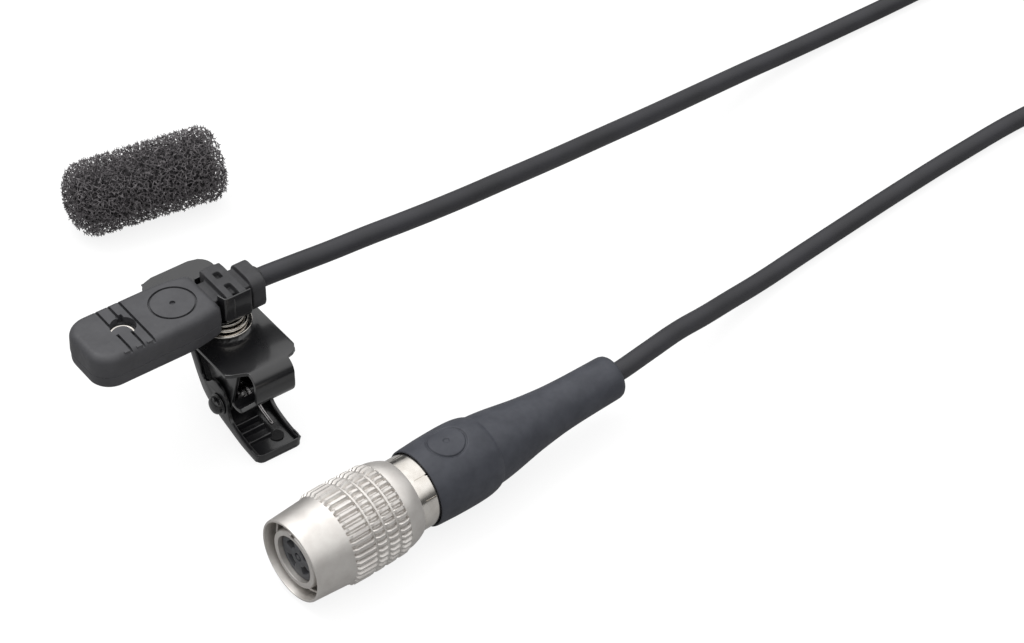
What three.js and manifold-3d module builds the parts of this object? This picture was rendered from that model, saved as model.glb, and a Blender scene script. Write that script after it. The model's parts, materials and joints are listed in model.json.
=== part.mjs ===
// A lavalier microphone: a flat clip-on head, its foam windscreen, and a cable to a push-pull plug.
// Millimetres, +Z up. The clip's swivel axis is x = 0, y = 0 while the pieces are built, and the head
// points along -X. At the end the group is moved so that the standing pieces' box is centred on the origin.
import * as THREE from "three";
import { mergeVertices } from "three/addons/utils/BufferGeometryUtils.js";
import Module from "manifold-3d";

// ---- driving dimensions -------------------------------------------------------------------------
const CABLE_D = 2.2;
const CABLE_CORE_D = 1.6; // where the jacket is stripped, inside the head
const GAP = 0.3; // between pieces that touch on the real object

// head
const HEAD_TOP = 17.6;
const HEAD_THICK = 4.2;
const HEAD_BOTTOM = HEAD_TOP - HEAD_THICK;
const HEAD_WIDTH = 8.0;
const HEAD_FRONT = -17.2;
const HEAD_REAR = -2.0;
const PARTING_Z = HEAD_BOTTOM + 1.65;
const PARTING_GAP = 0.05;
const WALL = 0.75;
const PORT_X = -12.1;
const PORT_R = 1.2;
const EMBLEM_X = -6.0;
const EMBLEM_R = 2.45;
const GROOVES_X = [-13.15, -11.7, -10.45];
const GROOVE_WIDTH = 0.24;
const GROOVE_DEPTH = 0.35;

// capsule, standing under the sound port
const CAN_R = 2.9;
const CAN_TOP = HEAD_TOP - 1.1;
const CAN_HEIGHT = 2.0;
const CAN_WALL = 0.2;

// neck and strain relief
const NECK_HALF = 2.85;
const NECK_FLANK = 15.3;
const NECK_CHAMFER = 0.5;
const NECK_BARS = [-1.1, 1.35];
const COLLAR = [2.35, 4.05];
const COLLAR_HALF = 2.25;
const COLLAR_Z = [13.2, 17.45];
const CABLE_Z = 15.6;
const CORE_HALF = 1.75;
const CORE_Z = [14.3, 16.9];
const CORE_ROOM_Z = [CORE_Z[0] - 0.1, CORE_Z[1] + 0.1];

// holder and swivel
const SHEET = 0.45;
const HOLDER_X = 1.5;
const HOLDER_FLOOR = 13.5;
const HOLDER_SHEET = 0.35;
const HOLDER_TOPS = { near: HEAD_TOP - 0.05, far: 16.4 };
const SHANK_R = 0.8;
const RUN_FIT = 0.06;

// clip
const PLATE_TOP = 11.4;
const PLATE_HALF = 4.3;
const PLATE_FAR = 11.2;
const PLATE_NEAR = -7.7;
const LIP_FRONT = -9.25;
const LIP_X = [-2.2, 2.7];
const CURL_X = [-3.8, 2.7];
const PIVOT = { y: -2.4, z: 3.4 };
const PIVOT_R = 0.7;
const EAR_X = 2.25;
const LEVER_HALF = 2.8;
const WIRE_D = 0.55;

// windscreen, lying beside the head
const FOAM = { x: 9.45, y: 33.5, yaw: -9.5, length: 18.6, width: 9.1, height: 8.8 };
const FOAM_CAVITY = { length: 12, width: 6.9, height: 4.8, corner: 0.6 };

// plug: stations are distances from its open end, along its own axis
const PLUG = { x: -10.5, y: -28.0, z: 5.25, yaw: 3.7 };
const SLEEVE_END = 13.9;
const SLEEVE_TRAVEL = 1.0;
const BOOT_FRONT = 16.1;
const BOOT_END = 42.8;
const INSULATOR_R = 2.6;
const CONTACT_RING_R = 1.45;

// cable route: a list chosen by hand, from the head to the coil and from the coil to the plug
const HEAD_RUN = [
  [4.5, 0, 15.6],
  [8.5, -0.3, 15.6],
  [13, -0.6, 15.5],
  [18, -0.6, 15.2],
  [23, -0.4, 14.6],
  [30, 0.3, 13.5],
  [37.5, 1.5, 12.1],
  [45.5, 3.1, 10.3],
  [54, 5.0, 8.3],
  [63, 7.0, 6.2],
  [72, 8.9, 4.3],
  [80, 10.3, 2.9],
  [88, 11.3, 1.8],
  [97, 11.9, 1.2],
  [106, 12.1, 1.1],
  [118, 12.1, 1.1],
  [128.8, 12.1, 1.1],
];
const PLUG_RUN = [
  [32.55, -25.2, 5.25],
  [38, -24.2, 5.0],
  [43, -23.0, 4.4],
  [47.5, -22.0, 3.5],
  [52, -20.8, 2.5],
  [57.5, -19.6, 1.6],
  [65, -18.3, 1.15],
  [73.5, -17.2, 1.1],
  [82, -16.2, 1.1],
  [92, -15.2, 1.1],
  [103, -14.5, 1.1],
  [115, -14.3, 1.1],
  [128.8, -14.3, 1.1],
];
// The rest of the cable is a round coil whose turns fill a square of 4 by 4 cable diameters.
const COIL = { x: 142, y: -1.1, middle: 13.2, side: 4 * CABLE_D };
const TIE = { width: 3.5, thickness: 0.9 };

// ---- materials ------------------------------------------------------------------------------------
const material = (color, roughness, metalness = 0) =>
  new THREE.MeshStandardMaterial({ color, roughness, metalness });
const headPlastic = material(0x3c3c40, 0.6);
const rubber = material(0x3a3a3d, 0.75);
const bootRubber = material(0x2d3038, 0.65);
const cableJacket = material(0x38393d, 0.6);
const blackMetal = material(0x17181b, 0.28, 0.6);
const nickel = material(0xd0ccc6, 0.22, 1);
const satinNickel = material(0xc9c6c0, 0.38, 1);
const gold = material(0xd9b45a, 0.3, 1);
const insulatorPlastic = material(0x3a3b3e, 0.5);
const foam = material(0x1c1c1e, 1);
const film = material(0xb8bcc4, 0.3, 0.4);
const boardGreen = material(0x2f5a3a, 0.6);
const copper = material(0xb87348, 0.4, 1);
const whitePlastic = material(0xdcdcd8, 0.5);
const strap = material(0x26272a, 0.95);

// ---- solid helpers --------------------------------------------------------------------------------
const wasm = await Module();
wasm.setup();

function solidOf(geometry) {
  const bare = geometry.index ? geometry.toNonIndexed() : geometry.clone();
  bare.deleteAttribute("normal");
  bare.deleteAttribute("uv");
  const merged = mergeVertices(bare, 1e-4);
  return new wasm.Manifold(
    new wasm.Mesh({
      numProp: 3,
      vertProperties: merged.attributes.position.array,
      triVerts: new Uint32Array(merged.index.array),
    }),
  );
}

function geometryOf(solid) {
  const made = solid.getMesh();
  const geometry = new THREE.BufferGeometry();
  geometry.setAttribute("position", new THREE.BufferAttribute(new Float32Array(made.vertProperties), 3));
  geometry.setIndex(new THREE.BufferAttribute(new Uint32Array(made.triVerts), 1));
  geometry.computeVertexNormals();
  return geometry;
}

const joined = (geometries) => geometries.map(solidOf).reduce((a, b) => a.add(b));

// The first geometries joined, less the second ones.
function carved(added, removed) {
  let solid = joined(added);
  for (const geometry of removed) solid = solid.subtract(solidOf(geometry));
  return geometryOf(solid);
}

function box(x, y, z) {
  const geometry = new THREE.BoxGeometry(x[1] - x[0], y[1] - y[0], z[1] - z[0]);
  return geometry.translate((x[0] + x[1]) / 2, (y[0] + y[1]) / 2, (z[0] + z[1]) / 2);
}

function cylinderZ(radius, z, x = 0, y = 0, sides = 20) {
  const geometry = new THREE.CylinderGeometry(radius, radius, z[1] - z[0], sides);
  return geometry.rotateX(Math.PI / 2).translate(x, y, (z[0] + z[1]) / 2);
}

function cylinderX(radius, x, y, z, sides = 24) {
  const geometry = new THREE.CylinderGeometry(radius, radius, x[1] - x[0], sides);
  return geometry.rotateZ(Math.PI / 2).translate((x[0] + x[1]) / 2, y, z);
}

// A closed profile of [radius, height] points turned about the Z axis.
function turnedZ(profile, sides = 24) {
  const points = [...profile, profile[0]].map(([r, h]) => new THREE.Vector2(r, h));
  return new THREE.LatheGeometry(points, sides).rotateX(Math.PI / 2);
}

// A flat ring about the Z axis; radii is [inside, outside].
function ring(radii, z, sides = 20) {
  return turnedZ([[radii[0], z[0]], [radii[1], z[0]], [radii[1], z[1]], [radii[0], z[1]]], sides);
}

// A closed profile of [station, radius] points turned about the X axis.
function turnedX(profile, sides = 20) {
  const points = [...profile, profile[0]].map(([s, r]) => new THREE.Vector2(r, s));
  return new THREE.LatheGeometry(points, sides).rotateZ(-Math.PI / 2);
}

function outline(points) {
  return new THREE.Shape(points.map(([a, b]) => new THREE.Vector2(a, b)));
}

// An outline in X and Y, standing from z[0] to z[1], with its edges broken by the bevel.
function plate(shape, z, bevel = 0, curveSegments = 3) {
  const geometry = new THREE.ExtrudeGeometry(shape, {
    depth: z[1] - z[0] - 2 * bevel,
    bevelEnabled: bevel > 0,
    bevelThickness: bevel,
    bevelSize: bevel,
    bevelOffset: -bevel,
    bevelSegments: 2,
    curveSegments,
  });
  return geometry.translate(0, 0, z[0] + bevel);
}

// An outline in Y and Z, standing from x[0] to x[1].
function web(points, x) {
  const geometry = new THREE.ExtrudeGeometry(outline(points), { depth: x[1] - x[0], bevelEnabled: false });
  return geometry.rotateX(Math.PI / 2).rotateZ(Math.PI / 2).translate(x[0], 0, 0);
}

// A shape in Y and Z with round corners, standing from x[0] to x[1].
function alongX(shape, x) {
  const options = { depth: x[1] - x[0], curveSegments: 2, bevelEnabled: false };
  const geometry = new THREE.ExtrudeGeometry(shape, options);
  return geometry.rotateX(Math.PI / 2).rotateZ(Math.PI / 2).translate(x[0], 0, 0);
}

// A rectangle with round corners; sides is [left, right], ends is [low, high].
function roundedRectangle(sides, ends, radius) {
  const [x0, x1] = sides;
  const [y0, y1] = ends;
  const shape = new THREE.Shape();
  shape.moveTo(x0 + radius, y0);
  shape.lineTo(x1 - radius, y0);
  shape.absarc(x1 - radius, y0 + radius, radius, -Math.PI / 2, 0);
  shape.lineTo(x1, y1 - radius);
  shape.absarc(x1 - radius, y1 - radius, radius, 0, Math.PI / 2);
  shape.lineTo(x0 + radius, y1);
  shape.absarc(x0 + radius, y1 - radius, radius, Math.PI / 2, Math.PI);
  shape.lineTo(x0, y0 + radius);
  shape.absarc(x0 + radius, y0 + radius, radius, Math.PI, 1.5 * Math.PI);
  return shape;
}

// The strip that follows a line of [y, z] points at its lower side, as thick as the sheet.
function stripAlong(line, thickness) {
  const upper = line.map((point, i) => {
    const before = line[Math.max(i - 1, 0)];
    const after = line[Math.min(i + 1, line.length - 1)];
    const run = [after[0] - before[0], after[1] - before[1]];
    const size = Math.hypot(...run);
    return [point[0] - (run[1] / size) * thickness, point[1] + (run[0] / size) * thickness];
  });
  return [...line, ...upper.reverse()];
}

// A round wire or cable along a smooth curve through the points.
function tube(points, diameter, steps, sides = 8) {
  const path = new THREE.CatmullRomCurve3(points.map((p) => new THREE.Vector3(...p)));
  const section = new THREE.Shape();
  section.absarc(0, 0, diameter / 2, 0, 2 * Math.PI);
  const options = { steps, extrudePath: path, curveSegments: sides / 2, bevelEnabled: false };
  return new THREE.ExtrudeGeometry(section, options);
}

// Points of a helix about a line along X through the given centre.
function helixX(radius, x, turns, centre, perTurn, startAngle = 0) {
  const points = [];
  const count = Math.round(turns * perTurn);
  for (let i = 0; i <= count; i++) {
    const angle = startAngle + (2 * Math.PI * i) / perTurn;
    const along = x[0] + ((x[1] - x[0]) * i) / count;
    points.push([along, centre.y + radius * Math.cos(angle), centre.z + radius * Math.sin(angle)]);
  }
  return points;
}

const part = new THREE.Group();
const plug = new THREE.Group();
plug.position.set(PLUG.x, PLUG.y, PLUG.z);
plug.rotation.z = THREE.MathUtils.degToRad(PLUG.yaw);
part.add(plug);

function add(name, geometry, finish, parent = part) {
  const mesh = new THREE.Mesh(geometry, finish);
  mesh.name = name;
  parent.add(mesh);
  return mesh;
}

// ---- head housing ---------------------------------------------------------------------------------
// The plan narrows towards the neck; front corners are full rounds.
function headPlan(inset = 0) {
  const half = HEAD_WIDTH / 2 - inset;
  const front = HEAD_FRONT + inset;
  const rear = HEAD_REAR - inset;
  const frontR = 2.3 - inset;
  const shoulder = 2.9 - inset;
  const shape = new THREE.Shape();
  shape.moveTo(front + frontR, -half);
  shape.lineTo(-7.5, -half);
  shape.quadraticCurveTo(-4.5, -half, rear - 0.4, -shoulder - 0.45);
  shape.lineTo(rear, -shoulder);
  shape.lineTo(rear, shoulder);
  shape.lineTo(rear - 0.4, shoulder + 0.45);
  shape.quadraticCurveTo(-4.5, half, -7.5, half);
  shape.lineTo(front + frontR, half);
  shape.absarc(front + frontR, half - frontR, frontR, Math.PI / 2, Math.PI);
  shape.lineTo(front, -half + frontR);
  shape.absarc(front + frontR, -half + frontR, frontR, Math.PI, 1.5 * Math.PI);
  return shape;
}

function headHousing() {
  const cavity = plate(headPlan(WALL), [HEAD_BOTTOM + 0.6, HEAD_TOP - 0.85]);
  const neckOpening = box([HEAD_REAR - 2, HEAD_REAR + 1], [-CORE_HALF - 0.1, CORE_HALF + 0.1], CORE_ROOM_Z);
  const tongueRoom = box([-3.7, HEAD_REAR - WALL + 0.01], [-2.2, 2.2], CORE_ROOM_Z);
  const body = plate(headPlan(), [HEAD_BOTTOM, HEAD_TOP], 0.55);
  const upperHalf = box([-30, 10], [-10, 10], [PARTING_Z + PARTING_GAP, HEAD_TOP + 1]);
  const lowerHalf = box([-30, 10], [-10, 10], [HEAD_BOTTOM - 1, PARTING_Z]);
  const hollow = solidOf(body).subtract(joined([cavity, neckOpening, tongueRoom]));

  const grooveZ = [HEAD_TOP - GROOVE_DEPTH, HEAD_TOP + 1];
  const grooves = GROOVES_X.map((x) => box([x - GROOVE_WIDTH / 2, x + GROOVE_WIDTH / 2], [-6, 6], grooveZ));
  const portRecess = cylinderZ(1.5, grooveZ, PORT_X, 0, 20);
  const port = cylinderZ(PORT_R, [HEAD_TOP - 2, HEAD_TOP + 1], PORT_X, 0, 20);
  const ringCut = turnedZ([[EMBLEM_R - 0.14, grooveZ[0] + 0.15], [EMBLEM_R + 0.14, grooveZ[0] + 0.15],
    [EMBLEM_R + 0.14, grooveZ[1]], [EMBLEM_R - 0.14, grooveZ[1]]], 24).translate(EMBLEM_X, 0, 0);
  let upper = hollow.intersect(solidOf(upperHalf));
  for (const cut of [...grooves, portRecess, port, ringCut]) upper = upper.subtract(solidOf(cut));
  add("housing_top", geometryOf(upper), headPlastic);
  add("housing_bottom", geometryOf(hollow.intersect(solidOf(lowerHalf))), headPlastic);
}

function soundPort() {
  const low = HEAD_TOP - 0.8;
  const r = PORT_R - 0.05;
  add("port_ring", ring([0.75, r], [low, low + 0.3]).translate(PORT_X, 0, 0), nickel);
  add("port_mesh", cylinderZ(r, [low - 0.12, low - 0.04], PORT_X, 0, 20), blackMetal);
}

// ---- capsule --------------------------------------------------------------------------------------
function capsule() {
  const top = CAN_TOP;
  const inner = CAN_R - CAN_WALL;
  const at = (geometry) => geometry.translate(PORT_X, 0, 0);
  const can = turnedZ([[0.6, top - CAN_WALL], [inner, top - CAN_WALL], [inner, top - CAN_HEIGHT],
    [CAN_R, top - CAN_HEIGHT], [CAN_R, top], [0.6, top]], 20);
  const fit = inner - 0.06;
  add("capsule_can", at(can), nickel);
  add("capsule_gasket", at(ring([1.35, 2.4], [top + 0.03, top + 0.22])), rubber);
  add("capsule_diaphragm", at(cylinderZ(fit, [top - 0.36, top - 0.28])), film);
  add("capsule_spacer", at(ring([fit - 0.5, fit], [top - 0.5, top - 0.4])), whitePlastic);
  add("capsule_backplate", at(cylinderZ(fit - 0.1, [top - 0.86, top - 0.54])), gold);
  add("capsule_insulator", at(ring([fit - 0.45, fit], [top - 1.6, top - 0.9])), whitePlastic);
  add("capsule_board", at(cylinderZ(fit, [top - 1.98, top - 1.66])), boardGreen);
  add("fet_chip", box([PORT_X - 0.7, PORT_X + 0.7], [-0.5, 0.5], [top - 1.62, top - 1.12]), insulatorPlastic);
}

// ---- strain relief and the cable's end inside the head --------------------------------------------
// Rubber moulded round the cable: a tongue inside the housing, a core, two cross bars joined by a bridge
// that the holder grips, and a square collar with round corners where the cable leaves.
function strainRelief() {
  const top = [NECK_HALF - NECK_CHAMFER, HEAD_TOP];
  const flank = [[CORE_HALF, CORE_Z[0]], [NECK_HALF, NECK_FLANK], [NECK_HALF, HEAD_TOP - NECK_CHAMFER], top];
  const barOutline = [...flank, ...flank.map(([y, z]) => [-y, z]).reverse()];
  const tongue = box([-3.6, -2.85], [-2.1, 2.1], CORE_Z);
  const core = box([-3.0, COLLAR[1] - 0.5], [-CORE_HALF, CORE_HALF], CORE_Z);
  const bars = web(barOutline, NECK_BARS);
  const collar = alongX(roundedRectangle([-COLLAR_HALF, COLLAR_HALF], COLLAR_Z, 1.1), COLLAR);
  const bore = cylinderX(CABLE_CORE_D / 2 + 0.1, [-5, 6], 0, CABLE_Z, 12);
  const pocketX = [-0.25, 0.5];
  const pocketZ = [CORE_Z[1] - 0.05, HEAD_TOP + 1];
  const farPocket = box(pocketX, [0.5, 1.7], pocketZ);
  const nearPocket = box(pocketX, [-4, -0.9], pocketZ);
  add("strain_relief", carved([tongue, core, bars, collar], [bore, farPocket, nearPocket]), rubber);
  add("cable_inner_end", cylinderX(CABLE_CORE_D / 2, [-4.3, COLLAR[1]], 0, CABLE_Z, 12), cableJacket);
  for (const [name, side] of [["lead_a", 1], ["lead_b", -1]]) {
    const route = [[-4.4, side * 0.45, CABLE_Z], [-5.6, side * 0.8, 15.4], [-7.2, side * 1.1, 15.0],
      [-8.9, side * 1.2, 14.8]];
    add(name, tube(route, 0.5, 6, 6), side > 0 ? copper : whitePlastic);
  }
}

// ---- holder and swivel ----------------------------------------------------------------------------
function holderAndSwivel() {
  const cradle = (half, foot, flank, floor, tops) =>
    web([[-half, tops.near], [-half, flank], [-foot, floor], [foot, floor], [half, flank], [half, tops.far]],
      [-HOLDER_X, HOLDER_X]);
  const wall = NECK_HALF + 0.08;
  const floorTop = HOLDER_FLOOR + HOLDER_SHEET;
  const around = cradle(wall + SHEET, 1.6, NECK_FLANK - 0.2, HOLDER_FLOOR, HOLDER_TOPS);
  const openTop = HEAD_TOP + 1;
  const within = cradle(wall, 1.5, NECK_FLANK - 0.05, floorTop, { near: openTop, far: openTop });
  const shankHole = cylinderZ(SHANK_R + 0.05, [HOLDER_FLOOR - 1, HOLDER_FLOOR + 1]);
  add("clip_holder", carved([around], [within, shankHole]), blackMetal);

  const washer = (r, z) => ring([SHANK_R + RUN_FIT, r], z);
  add("flat_washer", washer(2.85, [12.0, 12.25]), nickel);
  add("spring_washer", washer(2.7, [12.4, 12.65]), nickel);
  const headFoot = floorTop + 0.02;
  const rivet = [[0, 10.3], [1.3, 10.3], [1.3, 10.8], [SHANK_R, 10.8], [SHANK_R, 12.95], [2.6, 12.95],
    [2.6, 13.2], [SHANK_R, 13.2], [SHANK_R, headFoot], [1.2, headFoot], [1.0, 14.1], [0, 14.1]];
  add("swivel_rivet", turnedZ(rivet, 20), nickel);
}

// ---- clip -----------------------------------------------------------------------------------------
function upperLever() {
  const under = PLATE_TOP - SHEET;
  const top = [under, PLATE_TOP];
  const blank = new THREE.Shape();
  blank.moveTo(-PLATE_HALF, PLATE_NEAR + 0.4);
  blank.lineTo(-PLATE_HALF + 0.4, PLATE_NEAR);
  blank.lineTo(LIP_X[0], PLATE_NEAR);
  blank.lineTo(LIP_X[0], LIP_FRONT + 0.8);
  blank.lineTo(LIP_X[1], LIP_FRONT + 0.8);
  blank.lineTo(PLATE_HALF - 0.6, PLATE_NEAR - 0.2);
  blank.lineTo(PLATE_HALF, PLATE_NEAR + 0.8);
  blank.absarc(PLATE_HALF - 1.4, PLATE_FAR - 1.4, 1.4, 0, Math.PI / 2);
  blank.absarc(-PLATE_HALF + 1.4, PLATE_FAR - 1.4, 1.4, Math.PI / 2, Math.PI);
  // The lip turns down from the front edge and its lower part curls back under the plate.
  const fold = [[LIP_FRONT + 1.2, under], [LIP_FRONT + 0.6, under - 0.1], [LIP_FRONT + SHEET, under - 0.7],
    [LIP_FRONT + SHEET, 8.3], [LIP_FRONT, 8.1], [LIP_FRONT, under - 0.4],
    [LIP_FRONT + 0.35, PLATE_TOP - 0.25], [LIP_FRONT + 1.0, PLATE_TOP]];
  const curl = [[LIP_FRONT, 8.9], [LIP_FRONT + 0.1, 7.9], [LIP_FRONT + 0.9, 7.05], [-7.2, 6.8], [-6.3, 7.2],
    [-6.5, 7.55], [-7.2, 7.25], [LIP_FRONT + 1.1, 7.5], [LIP_FRONT + SHEET + 0.1, 8.2],
    [LIP_FRONT + SHEET, 8.9]];
  const ear = [[-6.2, under + 0.2], [-5.4, 8.2], [-4.1, 3.9], [-3.6, 2.4], [-2.4, 1.9], [-1.1, 2.4],
    [0.2, 5.2], [1.6, under + 0.2]];
  const ears = [[-EAR_X, -EAR_X + SHEET], [EAR_X - SHEET, EAR_X]].map((x) => web([...ear].reverse(), x));
  const jawEdge = box([-PLATE_HALF + 0.8, PLATE_HALF - 0.8], [PLATE_FAR - SHEET, PLATE_FAR], [10.35, 11.1]);
  const boss = turnedZ([[0, under + 0.1], [3.5, under + 0.1], [3.5, PLATE_TOP + 0.05], [3.1, PLATE_TOP + 0.5],
    [0, PLATE_TOP + 0.5]]);
  const bossHollow = cylinderZ(2.4, [under - 1, PLATE_TOP]);
  const hole = cylinderZ(SHANK_R + RUN_FIT, [9, 13]);
  const pinHole = cylinderX(PIVOT_R + 0.04, [-5, 5], PIVOT.y, PIVOT.z);
  const lip = web([...fold].reverse(), LIP_X);
  const returnCurl = web([...curl].reverse(), CURL_X);
  const parts = [plate(blank, top), lip, returnCurl, ...ears, jawEdge, boss];
  add("clip_upper_lever", carved(parts, [bossHollow, hole, pinHole]), blackMetal);
}

// The lower lever's floor: thumb end, belly under the pivot, then the jaw rising to the plate.
const LEVER_LINE = [
  [-9.8, 0], [-8.6, 0], [-6.3, 0.25], [-4, 0.85], [-2.1, 1.4], [0.3, 2.45], [1.5, 4.1], [2.9, 6.9],
  [4.4, 8.75], [7, 9.55], [10.5, 9.85],
];

function lowerLever() {
  const bed = web([...stripAlong(LEVER_LINE, SHEET)].reverse(), [-LEVER_HALF, LEVER_HALF]);
  const wallOutline = [...LEVER_LINE.slice(0, 9), [4.2, 9.4], [3.2, 8.6], [1.1, 6.6], [0.9, 5.2], [-0.2, 5.7],
    [-1.4, 6.1], [-2.8, 6.0], [-3.7, 5.2], [-4.1, 3.9], [-4.2, 2.2], [-6.4, 1.25], [-8.4, 0.9], [-9.8, 0.9]];
  const walls = [[-LEVER_HALF, -LEVER_HALF + SHEET], [LEVER_HALF - SHEET, LEVER_HALF]]
    .map((x) => web([...wallOutline].reverse(), x));
  const endRim = box([-LEVER_HALF, LEVER_HALF], [-9.8, -9.35], [0, 0.9]);
  const toothTip = box([-LEVER_HALF + 0.3, LEVER_HALF - 0.3], [10.05, 10.5], [9.85, 10.3]);
  const ribs = [-4.5, -5.75, -7.0].map((y, i) =>
    box([-2.55, 0.1], [y - 0.25, y + 0.25], [0.5 + 0.25 * (2 - i), 1.45 - 0.3 * i]));
  const hole = cylinderZ(0.8, [-1, 3], 0.95, -7.5, 20);
  const pinHole = cylinderX(PIVOT_R + 0.04, [-5, 5], PIVOT.y, PIVOT.z);
  const spare = box([-LEVER_HALF + SHEET, LEVER_HALF - SHEET], [-9.3, -4], [-1, -0.001]);
  const parts = [bed, ...walls, endRim, toothTip, ...ribs];
  add("clip_lower_lever", carved(parts, [hole, pinHole, spare]), blackMetal);
}

function pivotAndSpring() {
  const end = 3.05;
  const halfPin = [[0, PIVOT_R], [end, PIVOT_R], [end, 1.05], [end + 0.25, 1.0], [end + 0.5, 0.7],
    [end + 0.6, 0.35], [end + 0.62, 0]];
  const mirrored = halfPin.map(([s, r]) => [-s, r]).reverse();
  const profile = [...mirrored, ...halfPin.slice(1)];
  add("pivot_pin", turnedX(profile, 16).translate(0, PIVOT.y, PIVOT.z), blackMetal);
  const coilR = PIVOT_R + 0.12 + WIRE_D / 2;
  const coilX = [-1.35, 0.45];
  const turns = helixX(coilR, coilX, 3, PIVOT, 10, Math.PI);
  const upperLeg = [[-1.45, -5.6, 6.5], [-1.42, -4.6, 5.3], [-1.4, -3.9, 4.3]];
  add("torsion_spring", tube([...upperLeg, ...turns], WIRE_D, 40, 6), nickel);
  const lowerLeg = [[1.05, -3.55, 2.65], [1.1, -4.6, 1.95], [1.1, -5.6, 1.55], [1.1, -6.5, 1.2]];
  add("torsion_spring_leg", tube(lowerLeg, WIRE_D, 5, 6), nickel);
}

// ---- windscreen -----------------------------------------------------------------------------------
// A foam sock: round at its closed end, with a flat pocket for the head at the other.
function windscreen() {
  const half = FOAM.length / 2;
  const r = FOAM.width / 2;
  const profile = [[-half, 0]];
  for (let i = 1; i <= 6; i++) {
    const angle = (Math.PI / 2) * (i / 6);
    profile.push([-half + 3.4 * (1 - Math.cos(angle)), r * Math.sin(angle)]);
  }
  profile.push([half - 1.0, r], [half - 0.3, r - 0.35], [half, r - 0.9], [half, 0]);
  const body = turnedX(profile, 20).scale(1, 1, FOAM.height / FOAM.width);
  const pocketShape = roundedRectangle([-FOAM_CAVITY.width / 2, FOAM_CAVITY.width / 2],
    [-FOAM_CAVITY.height / 2, FOAM_CAVITY.height / 2], FOAM_CAVITY.corner);
  const pocket = alongX(pocketShape, [half - FOAM_CAVITY.length, half + 1]);
  const mesh = add("windscreen", carved([body], [pocket]), foam);
  mesh.position.set(FOAM.x, FOAM.y, FOAM.height / 2);
  mesh.rotation.z = THREE.MathUtils.degToRad(FOAM.yaw);
}

// ---- plug -----------------------------------------------------------------------------------------
function plugBody() {
  const sleeve = [[0, 4.35], [0, 4.55], [0.15, 4.65], [4.6, 4.95], [4.7, 5.2], [7.1, 5.25], [7.2, 5.05],
    [7.4, 5.05], [7.5, 5.25], [8.6, 5.25], [8.7, 5.05], [8.9, 5.05], [9.0, 5.22], [10.2, 5.2], [10.3, 5.0],
    [10.5, 4.98], [10.6, 5.15], [11.7, 5.1], [11.8, 4.95], [13.3, 4.6], [SLEEVE_END, 4.3],
    [SLEEVE_END, 4.17], [7.6, 4.17], [7.6, 3.75], [7.0, 3.75], [7.0, 4.2], [1.6, 4.2], [1.5, 4.35]];
  add("coupling_sleeve", turnedX(sleeve), satinNickel, plug);

  const barrel = [[0.45, 2.68], [0.45, 3.2], [0.6, 3.32], [5.6, 3.32], [5.8, 3.55], [6.1, 3.55], [6.1, 4.05],
    [6.7, 4.05], [6.7, 3.55], [13.4, 3.55], [13.4, 2.68]];
  add("plug_shell", turnedX(barrel), nickel, plug);

  // The spring sits between the sleeve's inner web and the ferrule, drawn as short as it gets.
  const springPoints = helixX(3.92, [7.75 + SLEEVE_TRAVEL, 12.1], 4, { y: 0, z: 0 }, 12);
  add("sleeve_spring", tube(springPoints, 0.3, 48, 6), nickel, plug);

  const contactPlaces = [0, 1, 2, 3].map((i) => {
    const angle = Math.PI / 4 + (i * Math.PI) / 2;
    return { y: CONTACT_RING_R * Math.cos(angle), z: CONTACT_RING_R * Math.sin(angle) };
  });
  const block = cylinderX(INSULATOR_R, [0.95, 12.8], 0, 0, 20);
  const bores = contactPlaces.map(({ y, z }) => cylinderX(0.55, [-1, 14], y, z, 8));
  add("insulator", carved([block], bores), insulatorPlastic, plug);
  contactPlaces.forEach(({ y, z }, i) => {
    const socket = turnedX([[1.5, 0.3], [1.5, 0.48], [13.6, 0.48], [13.6, 0], [6, 0], [6, 0.3]], 8);
    add(`contact_${i + 1}`, socket.translate(0, y, z), gold, plug);
  });

  const ferrule = [[12.5, 3.62], [12.5, 4.08], [16.3, 4.08], [16.3, 3.9], [19.6, 3.9], [19.6, 3.2],
    [14.2, 3.2], [14.2, 3.62]];
  add("rear_ferrule", turnedX(ferrule), nickel, plug);
  const clamp = turnedX([[20.0, 1.25], [20.0, 3.1], [21.0, 3.1], [25.5, 2.0], [25.5, 1.25]], 16);
  add("cable_clamp", clamp, satinNickel, plug);
}

// The boot: a barrel over the ferrule with a round shoulder, then a long concave taper.
function boot() {
  const barrel = [[BOOT_FRONT, 4.25], [BOOT_FRONT + 0.3, 4.35], [18.5, 4.48], [22, 4.5], [23.8, 4.42],
    [24.7, 4.15]];
  const taper = { start: 25.3, length: 9.6, front: 3.95, drop: 1.3, steps: 5 };
  const cone = [];
  for (let i = 0; i <= taper.steps; i++) {
    const t = i / taper.steps;
    cone.push([taper.start + taper.length * t, taper.front - taper.drop * (1 - (1 - t) ** 1.7)]);
  }
  const end = [[BOOT_END - 0.4, 2.5], [BOOT_END, 2.2]];
  const inside = [[BOOT_END, 1.25], [27, 1.25], [26, 3.3], [19.9, 3.3], [19.9, 4.0], [16.5, 4.0],
    [16.5, 4.14], [BOOT_FRONT, 4.14]];
  add("boot", turnedX([...barrel, ...cone, ...end, ...inside]), bootRubber, plug);
}

// ---- cable ----------------------------------------------------------------------------------------
function cable() {
  add("cable_head_run", tube(HEAD_RUN, CABLE_D, 34), cableJacket);
  add("cable_plug_run", tube(PLUG_RUN, CABLE_D, 28), cableJacket);
  coilAndTie();
}

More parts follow.
